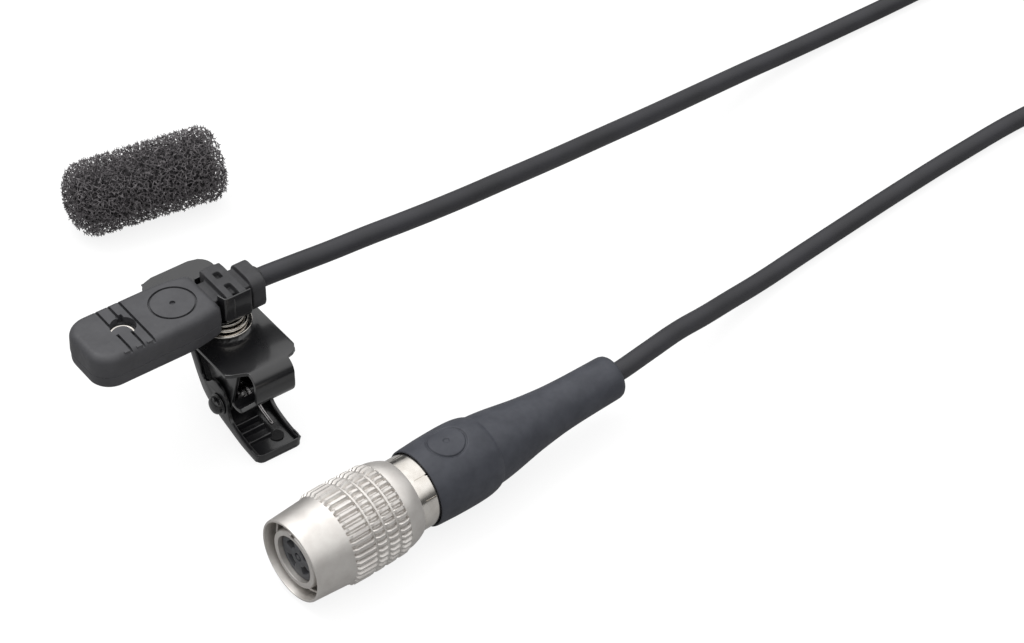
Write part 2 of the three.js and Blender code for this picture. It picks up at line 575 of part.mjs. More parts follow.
// The coil's outer shape, narrowed where the tie goes round it, so that the tie stays inside that shape.
function coilAndTie() {
  const r = [COIL.middle - COIL.side / 2, COIL.middle + COIL.side / 2];
  const bevel = 0.8;
  const high = COIL.side - bevel;
  const profile = [[r[0], bevel], [r[0] + bevel, 0], [r[1] - bevel, 0], [r[1], bevel], [r[1], high],
    [r[1] - bevel, COIL.side], [r[0] + bevel, COIL.side], [r[0], high]];
  const half = TIE.width / 2;
  const band = (inset, along) =>
    box([r[0] + inset, r[1] - inset], [-along, along], [inset, COIL.side - inset]);
  const around = box([r[0] - 1, r[1] + 1], [-half - GAP, half + GAP], [-1, COIL.side + 1]);
  const notch = geometryOf(solidOf(around).subtract(solidOf(band(TIE.thickness + GAP, half + 1))));
  const place = (geometry) => geometry.translate(COIL.x, COIL.y, 0);
  add("cable_coil", place(carved([turnedZ(profile, 28)], [notch])), cableJacket);
  add("cable_tie", place(carved([band(0, half)], [band(TIE.thickness, half + 1)])), strap);
}

// ---- origin ---------------------------------------------------------------------------------------
// The head with its clip, and the windscreen, are the pieces that stand; the cable and its plug lie free.
function centre() {
  const standing = new THREE.Box3();
  for (const mesh of part.children) {
    if (mesh.isMesh && !mesh.name.startsWith("cable_")) standing.expandByObject(mesh, true);
  }
  const middle = standing.getCenter(new THREE.Vector3());
  part.position.set(-middle.x, -middle.y, 0);
}

headHousing();
soundPort();
capsule();
strainRelief();
holderAndSwivel();
upperLever();
lowerLever();
pivotAndSpring();
windscreen();
plugBody();
boot();
cable();
centre();

export default part;
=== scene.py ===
"""Looks for a lavalier microphone: flat head, swivel clip, foam windscreen, cable and round locking plug.

Shapes are worked out in millimetres round the clip's swivel axis and moved into the frame in metres.
"""

import json
import random
from contextlib import contextmanager
from math import atan2, copysign, cos, floor, hypot, pi, radians, sin, sqrt

import bmesh
import bpy
from mathutils import Matrix, Vector


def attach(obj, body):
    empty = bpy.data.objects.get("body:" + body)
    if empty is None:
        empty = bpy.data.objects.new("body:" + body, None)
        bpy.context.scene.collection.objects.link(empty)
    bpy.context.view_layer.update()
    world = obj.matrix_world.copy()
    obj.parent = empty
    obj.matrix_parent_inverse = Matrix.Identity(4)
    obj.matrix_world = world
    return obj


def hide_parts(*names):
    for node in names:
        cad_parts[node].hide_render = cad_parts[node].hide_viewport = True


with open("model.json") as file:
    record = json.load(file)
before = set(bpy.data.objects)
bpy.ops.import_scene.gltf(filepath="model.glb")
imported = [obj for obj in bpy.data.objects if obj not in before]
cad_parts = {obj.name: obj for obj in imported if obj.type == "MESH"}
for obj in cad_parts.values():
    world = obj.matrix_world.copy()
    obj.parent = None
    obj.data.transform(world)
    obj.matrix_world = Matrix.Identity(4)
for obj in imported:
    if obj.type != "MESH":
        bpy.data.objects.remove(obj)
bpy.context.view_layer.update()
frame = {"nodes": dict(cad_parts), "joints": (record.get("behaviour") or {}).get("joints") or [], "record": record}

MM = 0.001
JOINTS = {joint["name"]: joint for joint in frame["joints"]}
SWIVEL = JOINTS["clip_swivel"]["pos_m"]
PIVOT_M = JOINTS["jaw_pivot"]["pos_m"]

# ---- sizes in millimetres, as in the CAD source ----
CABLE_D = 2.2
HEAD_TOP = 17.6
HEAD_BOTTOM = HEAD_TOP - 4.2
HEAD_WIDTH = 8.0
HEAD_FRONT = -17.2
HEAD_REAR = -2.0
PARTING_Z = HEAD_BOTTOM + 1.65
PORT_X = -12.0
PORT_R = 1.4
LID_AT = (-12.62, -1.0)
GROOVES_X = [-13.15, -11.7, -10.45]
EMBLEM_X = -6.0
EMBLEM_R = 2.45
CABLE_Z = 15.6
PLATE_TOP = 11.4
SHEET = 0.45
PIVOT_Y = (PIVOT_M[1] - SWIVEL[1]) / MM
PIVOT_Z = PIVOT_M[2] / MM
PIVOT_R = 0.7
LEVER_HALF = 2.8
FOAM_AT = (9.45, 33.5)
FOAM_YAW = -9.5
FOAM_LENGTH = 18.6
FOAM_WIDTH = 9.1
FOAM_HEIGHT = 8.8
PLUG_AT = (-10.5, -28.0, 5.25)
PLUG_YAW = 3.7
SLEEVE_END = 13.9

# ---- camera ----
CAMERA_ELEVATION = 41.5
CAMERA_TURN = 36.3
CAMERA_DISTANCE = 350
CAMERA_TARGET = (32.339, -7.125, 0)
CAMERA_LENS = 110.74

# ---- cable route: chosen points, the same as in the CAD source ----
HEAD_RUN = [
    (4.5, 0, 15.6), (8.5, -0.3, 15.6), (13, -0.6, 15.5), (18, -0.6, 15.2), (23, -0.4, 14.6),
    (30, 0.3, 13.5), (37.5, 1.5, 12.1), (45.5, 3.1, 10.3), (54, 5.0, 8.3), (63, 7.0, 6.2),
    (72, 8.9, 4.3), (80, 10.3, 2.9), (88, 11.3, 1.8), (97, 11.9, 1.2), (106, 12.1, 1.1),
    (118, 12.6, 1.1), (130, 14.2, 1.1),
]
PLUG_RUN = [
    (32.55, -25.2, 5.25), (38, -24.2, 5.0), (43, -23.0, 4.4), (47.5, -22.0, 3.5), (52, -20.8, 2.5),
    (57.5, -19.6, 1.6), (65, -18.3, 1.15), (73.5, -17.2, 1.1), (82, -16.2, 1.1), (92, -15.2, 1.1),
    (103, -14.5, 1.1), (115, -15.0, 1.1), (129, -17.0, 1.9),
]
# The cable's two ends, inside the strain relief and inside the boot.
CABLE_ENDS = [(3.2, 0, 15.6), (31.0, -25.3, 5.25)]
COIL_AT = (142, -1.1)
COIL_MIDDLE = 13.2
# The coil's turns in order, as (column outwards, layer upwards), each next to the one before.
COIL_PLACES = [
    (3, 0), (2, 0), (1, 0), (0, 0), (0, 1), (0, 2), (0, 3),
    (1, 3), (2, 3), (2, 2), (1, 2), (1, 1), (2, 1), (3, 1),
]
POINTS_PER_TURN = 16


# ---- placing ----
HEAD_FRAME = Matrix.Translation((SWIVEL[0], SWIVEL[1], 0)) @ Matrix.Scale(MM, 4)


def linked(name, data):
    """A new object in the scene."""
    made = bpy.data.objects.new(name, data)
    bpy.context.scene.collection.objects.link(made)
    return made


def turned_frame(x, y, z, yaw):
    local = Matrix.Translation((x, y, z)) @ Matrix.Rotation(radians(yaw), 4, "Z")
    return HEAD_FRAME @ local


PLUG_FRAME = turned_frame(*PLUG_AT, PLUG_YAW)
FOAM_FRAME = turned_frame(*FOAM_AT, FOAM_HEIGHT / 2, FOAM_YAW)


def make_camera():
    elevation = radians(CAMERA_ELEVATION)
    turn = radians(CAMERA_TURN)
    forward = Vector((
        sin(turn) * cos(elevation),
        cos(turn) * cos(elevation),
        -sin(elevation),
    ))
    data = bpy.data.cameras.new("camera")
    data.lens = CAMERA_LENS
    data.sensor_width = 36
    data.clip_start = 0.01
    data.clip_end = 20
    camera = linked("camera", data)
    camera.location = HEAD_FRAME @ (Vector(CAMERA_TARGET) - forward * CAMERA_DISTANCE)
    camera.rotation_mode = "QUATERNION"
    camera.rotation_quaternion = forward.to_track_quat("-Z", "Y")
    bpy.context.scene.camera = camera


# ---- materials ----
MATERIALS = {}


def srgb(red, green, blue):
    """Linear colour of a display colour given in 0-255 steps."""
    def linear(value):
        value /= 255
        return value / 12.92 if value <= 0.04045 else ((value + 0.055) / 1.055) ** 2.4
    return (linear(red), linear(green), linear(blue), 1)


def ramp_between(nodes, link, value, stops):
    """A colour ramp fed by value, with stops of (position, colour)."""
    node = nodes.new("ShaderNodeValToRGB")
    elements = node.color_ramp.elements
    while len(elements) < len(stops):
        elements.new(0.5)
    for element, (position, color) in zip(elements, stops):
        element.position = position
        element.color = color
    link(value, node.inputs["Fac"])
    return node.outputs["Color"]


def assign(node, **values):
    """The node with its plain input values set; an underscore stands for a space."""
    for key, value in values.items():
        node.inputs[key.replace("_", " ")].default_value = value
    return node


class Nodes:
    """A short way to build a node material round one Principled shader."""

    def __init__(self, name):
        self.material = bpy.data.materials.new(name)
        self.material.use_nodes = True
        self.tree = self.material.node_tree
        self.shader = self.tree.nodes["Principled BSDF"]
        self.place = self.tree.nodes.new("ShaderNodeTexCoord").outputs["Object"]

    def set(self, **values):
        assign(self.shader, **values)
        return self

    def node(self, kind, **values):
        return assign(self.tree.nodes.new(kind), **values)

    def link(self, output, target):
        self.tree.links.new(output, target)

    def noise(self, size_mm, detail=3):
        """Noise whose blobs are about size_mm across."""
        node = self.node("ShaderNodeTexNoise", Scale=1 / (size_mm * MM), Detail=detail, Roughness=0.55)
        self.link(self.place, node.inputs["Vector"])
        return node.outputs["Fac"]

    def cells(self, size_mm):
        node = self.node("ShaderNodeTexVoronoi", Scale=1 / (size_mm * MM))
        self.link(self.place, node.inputs["Vector"])
        return node.outputs["Distance"]

    def ramp(self, value, stops):
        return ramp_between(self.tree.nodes, self.link, value, stops)

    def spread(self, value, low, high):
        """value, from about 0.3 to 0.7, moved to low ... high."""
        node = self.node("ShaderNodeMapRange", From_Min=0.3, From_Max=0.7, To_Min=low, To_Max=high)
        self.link(value, node.inputs["Value"])
        return node.outputs["Result"]

    def color(self, value, first, second):
        self.link(self.ramp(value, [(0.35, first), (0.65, second)]), self.shader.inputs["Base Color"])

    def roughness(self, value, low, high):
        self.link(self.spread(value, low, high), self.shader.inputs["Roughness"])

    def bumps(self, *layers):
        """Each layer is (height value, strength, height in millimetres), the first one lowest."""
        normal = None
        for value, strength, height in layers:
            node = self.node("ShaderNodeBump", Strength=strength, Distance=height * MM)
            self.link(value, node.inputs["Height"])
            if normal:
                self.link(normal, node.inputs["Normal"])
            normal = node.outputs["Normal"]
        self.link(normal, self.shader.inputs["Normal"])


def surface(name, first, second, tint, rough, gloss, *bumps, **settings):
    """A material between two close shades.

    tint is the size in millimetres of the colour's drift, gloss is the size and detail of the drift between
    the two values of rough, and each bump is a size, a detail, a strength and a height in millimetres.
    """
    made = Nodes(name)
    made.color(made.noise(tint), srgb(*first), srgb(*second))
    made.roughness(made.noise(*gloss), *rough)
    made.bumps(*[(made.noise(size, detail), strength, height) for size, detail, strength, height in bumps])
    MATERIALS[name] = made.set(**settings).material


def rubber(name, first, second, rough):
    surface(name, first, second, 1.8, (rough - 0.06, rough + 0.06), (0.6, 3), (0.12, 4, 0.3, 0.02),
            (1.6, 3, 0.2, 0.05), Specular_IOR_Level=0.4)


def polished(name, first, second, rough):
    surface(name, first, second, 1.4, rough, (0.4, 4), (0.15, 3, 0.12, 0.01), (1.8, 3, 0.08, 0.02),
            Metallic=1.0)


def plain(name, first, second, rough, metallic=0.0):
    surface(name, first, second, 0.8, (rough - 0.05, rough + 0.05), (0.4, 3), (0.15, 3, 0.1, 0.01),
            Metallic=metallic)


def foam_core_painted_shade():
    # Painted shade: the core is darker than the struts' foam, and darkest in the middle of each cell, for the
    # shade deep in the foam and in its pores.
    made = Nodes("foam_core")
    value = made.cells(0.35)
    shade = made.ramp(value, [(0.15, srgb(16, 16, 17)), (0.7, srgb(62, 60, 62))])
    made.link(shade, made.shader.inputs["Base Color"])
    made.roughness(made.noise(0.4), 0.7, 0.9)
    made.bumps((value, 1.0, 0.2))
    MATERIALS["foam_core"] = made.set(Specular_IOR_Level=0.2).material


def strap_fabric():
    made = Nodes("strap")
    made.color(made.cells(0.22), srgb(22, 22, 24), srgb(44, 44, 47))
    made.roughness(made.noise(0.5), 0.8, 0.95)
    made.bumps((made.cells(0.22), 0.8, 0.12))
    MATERIALS["strap"] = made.set(Sheen_Weight=0.4).material


def make_materials():
    surface("head_plastic", (57, 57, 60), (64, 64, 67), 2.5, (0.5, 0.62), (0.5, 3), (0.1, 4, 0.4, 0.016),
            (0.9, 3, 0.12, 0.02), Specular_IOR_Level=0.5)
    surface("cable_jacket", (43, 43, 46), (50, 50, 54), 6, (0.46, 0.56), (1.5, 3), (0.08, 3, 0.25, 0.012),
            (3.5, 3, 0.12, 0.04), Specular_IOR_Level=0.35)
    surface("black_steel", (19, 19, 21), (22, 22, 24), 3.0, (0.27, 0.32), (2.5, 2), (0.1, 2, 0.05, 0.003),
            Coat_Weight=0.5, Coat_Roughness=0.12, Specular_IOR_Level=0.5)
    surface("satin_nickel", (205, 201, 197), (214, 211, 207), 1.6, (0.47, 0.54), (0.25, 4),
            (0.07, 3, 0.4, 0.008), (2.2, 3, 0.06, 0.02), Metallic=1.0)
    surface("foam", (64, 61, 63), (122, 118, 120), 0.5, (0.5, 0.75), (0.4, 3), (0.06, 3, 0.3, 0.02),
            Specular_IOR_Level=0.4)
    foam_core_painted_shade()
    strap_fabric()
    rubber("relief_rubber", (48, 48, 50), (56, 56, 58), 0.58)
    rubber("boot_rubber", (52, 54, 61), (61, 63, 70), 0.55)
    polished("nickel", (206, 201, 194), (222, 218, 212), (0.1, 0.2))
    polished("spring_steel", (110, 108, 108), (150, 148, 148), (0.2, 0.32))
    polished("gold", (212, 172, 92), (232, 196, 120), (0.2, 0.32))
    plain("insulator_plastic", (62, 63, 66), (76, 77, 80), 0.5)
    plain("film", (170, 176, 184), (200, 204, 210), 0.25, 0.6)
    plain("board", (38, 82, 52), (50, 104, 66), 0.5)
    plain("copper", (176, 108, 70), (200, 128, 84), 0.3, 1.0)
    plain("white_plastic", (212, 212, 206), (228, 228, 224), 0.45)
    # The shadow colour is painted shade: near black, for the dark inside of a hole.
    plain("shadow", (8, 8, 9), (12, 12, 13), 0.8)


# ---- mesh tools: everything here is in millimetres ----
def mesh_of(name, points, faces):
    mesh = bpy.data.meshes.new(name)
    mesh.from_pydata([tuple(p) for p in points], [], faces)
    return linked(name, mesh)


def solid(name, points, faces):
    made = mesh_of(name, points, faces)
    made.data.validate()
    outward(made)
    return made


@contextmanager
def opened(piece):
    """The piece's mesh, open for editing and written back at the end."""
    cage = bmesh.new()
    cage.from_mesh(piece.data)
    yield cage
    cage.to_mesh(piece.data)
    cage.free()


def outward(piece):
    with opened(piece) as cage:
        bmesh.ops.recalc_face_normals(cage, faces=cage.faces)


def modified(piece, kind, **settings):
    """The piece with a modifier made part of its mesh."""
    step = piece.modifiers.new("step", kind)
    for key, value in settings.items():
        setattr(step, key, value)
    bpy.context.view_layer.update()
    graph = bpy.context.evaluated_depsgraph_get()
    mesh = bpy.data.meshes.new_from_object(piece.evaluated_get(graph))
    piece.modifiers.clear()
    piece.data = mesh
    return piece


def combine(piece, others, operation):
    """Cuts the others from the piece (DIFFERENCE), joins them to it (UNION) or keeps what they share."""
    for other in others:
        modified(piece, "BOOLEAN", operation=operation, solver="EXACT", object=other)
        bpy.data.objects.remove(other)
    return piece


def bevelled(piece, width, segments=3, angle=32):
    return modified(piece, "BEVEL", width=width, segments=segments, limit_method="ANGLE",
                    angle_limit=radians(angle), use_clamp_overlap=True, miter_outer="MITER_ARC")


def melted(piece, voxel, smoothing):
    """The piece remade as one skin with soft inner and outer corners, as rubber from a mould."""
    modified(piece, "REMESH", mode="VOXEL", voxel_size=voxel)
    return modified(piece, "SMOOTH", factor=0.5, iterations=smoothing)


def merged(pieces):
    """The pieces as loose parts of one mesh."""
    first, *others = pieces
    with opened(first) as cage:
        for piece in others:
            cage.from_mesh(piece.data)
    for piece in others:
        bpy.data.objects.remove(piece)
    return first


def smooth(piece, angle):
    """Smooth shading with edges kept where faces meet at more than the angle."""
    limit = radians(angle)
    with opened(piece) as cage:
        for face in cage.faces:
            face.smooth = True
        for edge in cage.edges:
            edge.smooth = len(edge.link_faces) == 2 and edge.calc_face_angle(0) < limit


def settle(piece, place, material, body, nodes=(), angle=35, flat=False):
    """Puts a finished piece into the frame, on its body, in place of CAD nodes."""
    smooth(piece, angle)
    if flat:
        modified(piece, "WEIGHTED_NORMAL", keep_sharp=True)
    piece.data.transform(place)
    piece.data.materials.clear()
    piece.data.materials.append(MATERIALS[material])
    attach(piece, body)
    if nodes:
        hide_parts(*nodes)


def loft(name, rings, capped=True):
    """A skin over rings of equal length; each ring is a closed loop of points."""
    count = len(rings[0])
    points = [p for ring in rings for p in ring]
    faces = []
    for row in range(len(rings) - 1):
        for i in range(count):
            j = (i + 1) % count
            a = row * count
            faces.append((a + i, a + j, a + count + j, a + count + i))
    if capped:
        faces.append(tuple(range(count))[::-1])
        last = (len(rings) - 1) * count
        faces.append(tuple(range(last, last + count)))
    return solid(name, points, faces)


def around(count):
    return [2 * pi * i / count for i in range(count)]


def polar(radius, angle, x=0.0, y=0.0):
    """The point at an angle on a circle round (x, y)."""
    return x + radius * cos(angle), y + radius * sin(angle)


def turned(name, profile, angles=48, radius_at=None):
    """A profile of (station, radius) turned about X. It runs from axis to axis, or closes on itself."""
    steps = around(angles) if isinstance(angles, int) else angles
    radius_at = radius_at or (lambda station, radius, angle: radius)
    points = []
    starts = []
    for station, radius in profile:
        starts.append(len(points))
        if radius < 1e-9:
            points.append((station, 0, 0))
            continue
        for angle in steps:
            points.append((station, *polar(radius_at(station, radius, angle), angle)))
    closed = profile[0][1] > 1e-9 and profile[-1][1] > 1e-9
    faces = []
    count = len(steps)
    rows = len(profile) if closed else len(profile) - 1
    for row in range(rows):
        following = (row + 1) % len(profile)
        a, b = starts[row], starts[following]
        for i in range(count):
            j = (i + 1) % count
            if profile[row][1] < 1e-9:
                faces.append((a, b + j, b + i))
            elif profile[following][1] < 1e-9:
                faces.append((a + i, a + j, b))
            else:
                faces.append((a + i, a + j, b + j, b + i))
    return solid(name, points, faces)


def upright(piece, x=0):
    """A piece turned about X, stood up at x so that its stations run along Z."""
    piece.data.transform(Matrix.Translation((x, 0, 0)) @ Matrix.Rotation(-pi / 2, 4, "Y"))
    return piece


def rounded(profile, radius, closed=True, steps=3):
    """The same outline with each corner replaced by a short curve."""
    count = len(profile)
    made = []
    for i, point in enumerate(profile):
        here = Vector(point[:2])
        if not closed and i in (0, count - 1):
            made.append(tuple(here))
            continue
        before = Vector(profile[i - 1][:2]) - here
        after = Vector(profile[(i + 1) % count][:2]) - here
        reach = point[2] if len(point) > 2 else radius
        reach = min(reach, before.length * 0.45, after.length * 0.45)
        if reach < 1e-4:
            made.append(tuple(here))
            continue
        start = here + before.normalized() * reach
        end = here + after.normalized() * reach
        for k in range(steps + 1):
            t = k / steps
            made.append(tuple(start * (1 - t) ** 2 + here * 2 * t * (1 - t) + end * t * t))
    return made


def extruded(name, outline, axis, low, high):
    """An outline of two coordinates, standing along the axis from low to high."""
    def lift(point, height):
        a, b = point[:2]
        return {"X": (height, a, b), "Y": (a, height, b), "Z": (a, b, height)}[axis]
    return loft(name, [[lift(p, low) for p in outline], [lift(p, high) for p in outline]])


def block(name, x, y, z, radius=0.0):
    outline = [(x[0], y[0]), (x[1], y[0]), (x[1], y[1]), (x[0], y[1])]
    if radius:
        outline = rounded(outline, radius, steps=4)
    return extruded(name, outline, "Z", z[0], z[1])


def rod(name, radius, z, x=0.0, y=0.0, sides=48):
    return extruded(name, [polar(radius, a, x, y) for a in around(sides)], "Z", z[0], z[1])


def ring_cut(name, radius, width, z, x, sides=96):
    low, high = z
    profile = [(low, radius - width / 2), (low, radius + width / 2), (high, radius + width / 2),
               (high, radius - width / 2)]
    return upright(turned(name, profile, sides), x=x)


def smooth_line(points, per_span=6):
    """Points on a smooth line through the given points of any dimension."""
    vectors = [Vector(p) for p in points]
    made = []
    last = len(vectors) - 1
    for i in range(last):
        p0 = vectors[max(i - 1, 0)]
        p1 = vectors[i]
        p2 = vectors[i + 1]
        p3 = vectors[min(i + 2, last)]
        for k in range(per_span):
            t = k / per_span
            made.append(
                0.5 * ((2 * p1) + (p2 - p0) * t + (2 * p0 - 5 * p1 + 4 * p2 - p3) * t ** 2
                       + (3 * p1 - p0 - 3 * p2 + p3) * t ** 3)
            )
    made.append(vectors[-1])
    return made


def run_at(path, i):
    """The direction of a path at one of its points."""
    return (path[min(i + 1, len(path) - 1)] - path[max(i - 1, 0)]).normalized()


def ribbon(name, line, thick, axis, low, high):
    """A strip of sheet bent along a smooth line, standing along the axis."""
    inner, outer = [], []
    for i, point in enumerate(line):
        run = run_at(line, i)
        across = Vector((-run.y, run.x)) * thick / 2
        inner.append(tuple(point - across))
        outer.append(tuple(point + across))
    return extruded(name, inner + outer[::-1], axis, low, high)


def wire(name, points, diameter, sides, per_span):
    """A round wire with narrowed tips along a smooth line through the points."""
    path = smooth_line(points, per_span)
    rings = []
    tangent_before = None
    side = None
    for i, point in enumerate(path):
        tangent = run_at(path, i)
        if side is None:
            side = tangent.orthogonal().normalized()
        else:
            side = tangent_before.rotation_difference(tangent) @ side
            side = (side - tangent * side.dot(tangent)).normalized()
        tangent_before = tangent
        other = tangent.cross(side)
        radius = diameter / 2 * (0.7 if i in (0, len(path) - 1) else 1)
        rings.append([point + (side * cos(a) + other * sin(a)) * radius for a in around(sides)])
    return loft(name, rings)


# ---- cable ----
def coil_points():
    """The coil's centreline, from the outer bottom turn to the one above it, winding clockwise."""
    points = []
    turns = len(COIL_PLACES) - 0.5
    steps = int(turns * POINTS_PER_TURN)
    shift_from = 0.72
    for i in range(steps + 1):
        at = i / POINTS_PER_TURN
        turn = min(int(at), len(COIL_PLACES) - 1)
        share = max(0.0, (at - turn - shift_from) / (1 - shift_from))
        share = smooth_step(0, 1, share)
        column, layer = COIL_PLACES[turn]
        if turn + 1 < len(COIL_PLACES):
            column += (COIL_PLACES[turn + 1][0] - column) * share
            layer += (COIL_PLACES[turn + 1][1] - layer) * share
        radius = COIL_MIDDLE + (column - 1.5) * CABLE_D
        angle = pi / 2 - 2 * pi * at
        points.append((*polar(radius, angle, *COIL_AT), CABLE_D * (layer + 0.5)))
    return points


def cable():
    route = [CABLE_ENDS[0], *HEAD_RUN, *coil_points(), *reversed(PLUG_RUN), CABLE_ENDS[1]]
    data = bpy.data.curves.new("cable", "CURVE")
    data.dimensions = "3D"
    data.bevel_depth = CABLE_D / 2 * MM
    data.bevel_resolution = 6
    data.resolution_u = 5
    data.use_fill_caps = True
    spline = data.splines.new("BEZIER")
    spline.bezier_points.add(len(route) - 1)
    for knot, point in zip(spline.bezier_points, route):
        knot.co = HEAD_FRAME @ Vector(point)
        knot.handle_left_type = "AUTO"
        knot.handle_right_type = "AUTO"
    piece = linked("cable", data)
    data.materials.append(MATERIALS["cable_jacket"])
    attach(piece, "root")
    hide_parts("cable_head_run", "cable_plug_run", "cable_coil")
    return piece


def cable_tie():
    """A hook-and-loop strap round the coil, with its overlapping end."""
    inner = COIL_MIDDLE - 2 * CABLE_D
    outer = COIL_MIDDLE + 2 * CABLE_D
    low, high = -0.02, 4 * CABLE_D + 0.5
    thick = 0.55
    x0 = inner - 0.1
    x1 = outer + 0.1
    loop = [(x0, low), (x1, low), (x1, high - 1.6, 1.2), (x1 - 2.3, high, 1.4), (x0, high)]
    outside = rounded([(p[0], p[1], 1.1) for p in loop], 1.1, steps=6)
    middle = Vector(((x0 + x1) / 2, (low + high) / 2))
    inside = []
    for x, z in outside:
        away = Vector((x, z)) - middle
        inside.append((x - copysign(min(thick, abs(away.x)), away.x),
                       z - copysign(min(thick, abs(away.y)), away.y)))
    half = 1.75
    rows = []
    for y, loop_points in ((-half, inside), (-half, outside), (half, outside), (half, inside)):
        rows.append([(p[0], y, p[1]) for p in loop_points])
    band = loft("tie_strap", [*rows, rows[0]], capped=False)
    with opened(band) as cage:
        bmesh.ops.remove_doubles(cage, verts=cage.verts, dist=1e-4)
    outward(band)
    flap = block("flap", (x0 + 1.2, x0 + 6.0), (-half + 0.12, half - 0.12), (high - 0.02, high + 0.4), 0.5)
    band = merged([bevelled(band, 0.12, 2), bevelled(flap, 0.12, 2)])
    place = HEAD_FRAME @ Matrix.Translation((COIL_AT[0], COIL_AT[1], 0))
    settle(band, place, "strap", "root", ["cable_tie"])


# ---- head ----
def head_plan(inset=0.0):
    """The head seen from above: round front corners, sides narrowing to the neck."""
    half = HEAD_WIDTH / 2 - inset
    front = HEAD_FRONT + inset
    rear = HEAD_REAR - inset
    corner = 2.5 - inset * 0.6
    side = []
    for k in range(13):
        angle = pi - (pi / 2) * k / 12
        side.append(polar(corner, angle, front + corner, half - corner))
    for k in range(1, 5):
        side.append((front + corner + (-7.2 - front - corner) * k / 4, half))
    shoulder = 3.35 - inset
    for k in range(1, 9):
        t = k / 8
        x = (1 - t) ** 2 * -7.2 + 2 * t * (1 - t) * -4.6 + t * t * (rear - 0.35)
        y = (1 - t) ** 2 * half + 2 * t * (1 - t) * half + t * t * shoulder
        side.append((x, y))
    side.append((rear, shoulder - 0.4))
    return side + [(x, -y) for x, y in reversed(side)]


def head_levels(levels):
    return [[(x, y, z) for x, y in head_plan(inset)] for z, inset in levels]


def head_housing():
    edge = 0.95
    crown = [(HEAD_TOP - edge * (1 - sin(a)), 0.05 + edge * 0.9 * (1 - cos(a)))
             for a in [pi / 2 * k / 8 for k in range(9)]]
    upper = loft("housing_upper", head_levels([(PARTING_Z + 0.05, 0.04), (PARTING_Z + 0.12, 0.0), *crown]))
    foot = 0.7
    keel = [(HEAD_BOTTOM + foot * (1 - sin(a)), 0.06 + foot * (1 - cos(a)))
            for a in [pi / 2 * k / 6 for k in range(7)]]
    rim = [(PARTING_Z - 0.06, 0.05), (PARTING_Z, 0.11)]
    lower = loft("housing_lower", head_levels([*reversed(keel), *rim]))

    def cavity():
        return loft("cavity", head_levels([(HEAD_BOTTOM + 0.6, 0.9), (HEAD_TOP - 1.3, 0.9)]))

    def neck_room():
        return block("neck_room", (HEAD_REAR - 2, HEAD_REAR + 1), (-2.3, 2.3), (14.1, 17.05))

    pad_z = (HEAD_TOP - 0.5, HEAD_TOP - 0.06)
    combine(upper, [block("pad", (x - 0.76, x - 0.14), (-3.72, -3.0), pad_z) for x in GROOVES_X], "UNION")

    cuts = [cavity(), neck_room()]
    half = 0.15
    slot = (HEAD_TOP - 0.45, HEAD_TOP + 1)
    for x, spans in zip(GROOVES_X, ([(0.3, 5), (-5, -0.9)], [(1.2, 5), (-5, -1.3)], [(-5, 5)])):
        for low, high in spans:
            cuts.append(block("groove", (x - half, x + half), (low, high), slot))
    port = rod("port", PORT_R, (HEAD_TOP - 1.2, HEAD_TOP + 1), PORT_X, -0.1, 64)
    combine(port, [rod("lid", 1.1, (HEAD_TOP - 2, HEAD_TOP + 2), *LID_AT, 64)], "DIFFERENCE")
    cuts.append(port)
    cuts.append(block("port_notch", (-11.95, -11.2), (0, 1.62), (HEAD_TOP - 1.1, HEAD_TOP + 1)))
    cuts.append(ring_cut("emblem", EMBLEM_R, 0.26, (HEAD_TOP - 0.26, HEAD_TOP + 1), EMBLEM_X))
    cuts.append(rod("emblem_dot", 0.32, (HEAD_TOP - 0.24, HEAD_TOP + 1), EMBLEM_X, 0, 32))
    combine(upper, cuts, "DIFFERENCE")
    combine(lower, [cavity(), neck_room()], "DIFFERENCE")
    bevelled(upper, 0.045, 2, 40)
    bevelled(lower, 0.05, 2, 40)
    settle(upper, HEAD_FRAME, "head_plastic", "root", ["housing_top"], flat=True)
    settle(lower, HEAD_FRAME, "head_plastic", "root", ["housing_bottom"], flat=True)


def sound_port():
    """The bright edge of the ring in the port, where the lid beside it leaves it in view."""
    low = HEAD_TOP - 0.95
    high = HEAD_TOP - 0.07
    profile = rounded([(low, 1.12), (low, 1.36), (high, 1.36), (high, 1.12)], 0.07)
    ring = upright(turned("port_rim", profile, 96))
    ring.data.transform(Matrix.Translation((*LID_AT, 0)))
    combine(ring, [rod("port", PORT_R - 0.02, (low - 1, high + 1), PORT_X, -0.1, 64)], "INTERSECT")
    settle(ring, HEAD_FRAME, "nickel", "root", ["port_ring"])


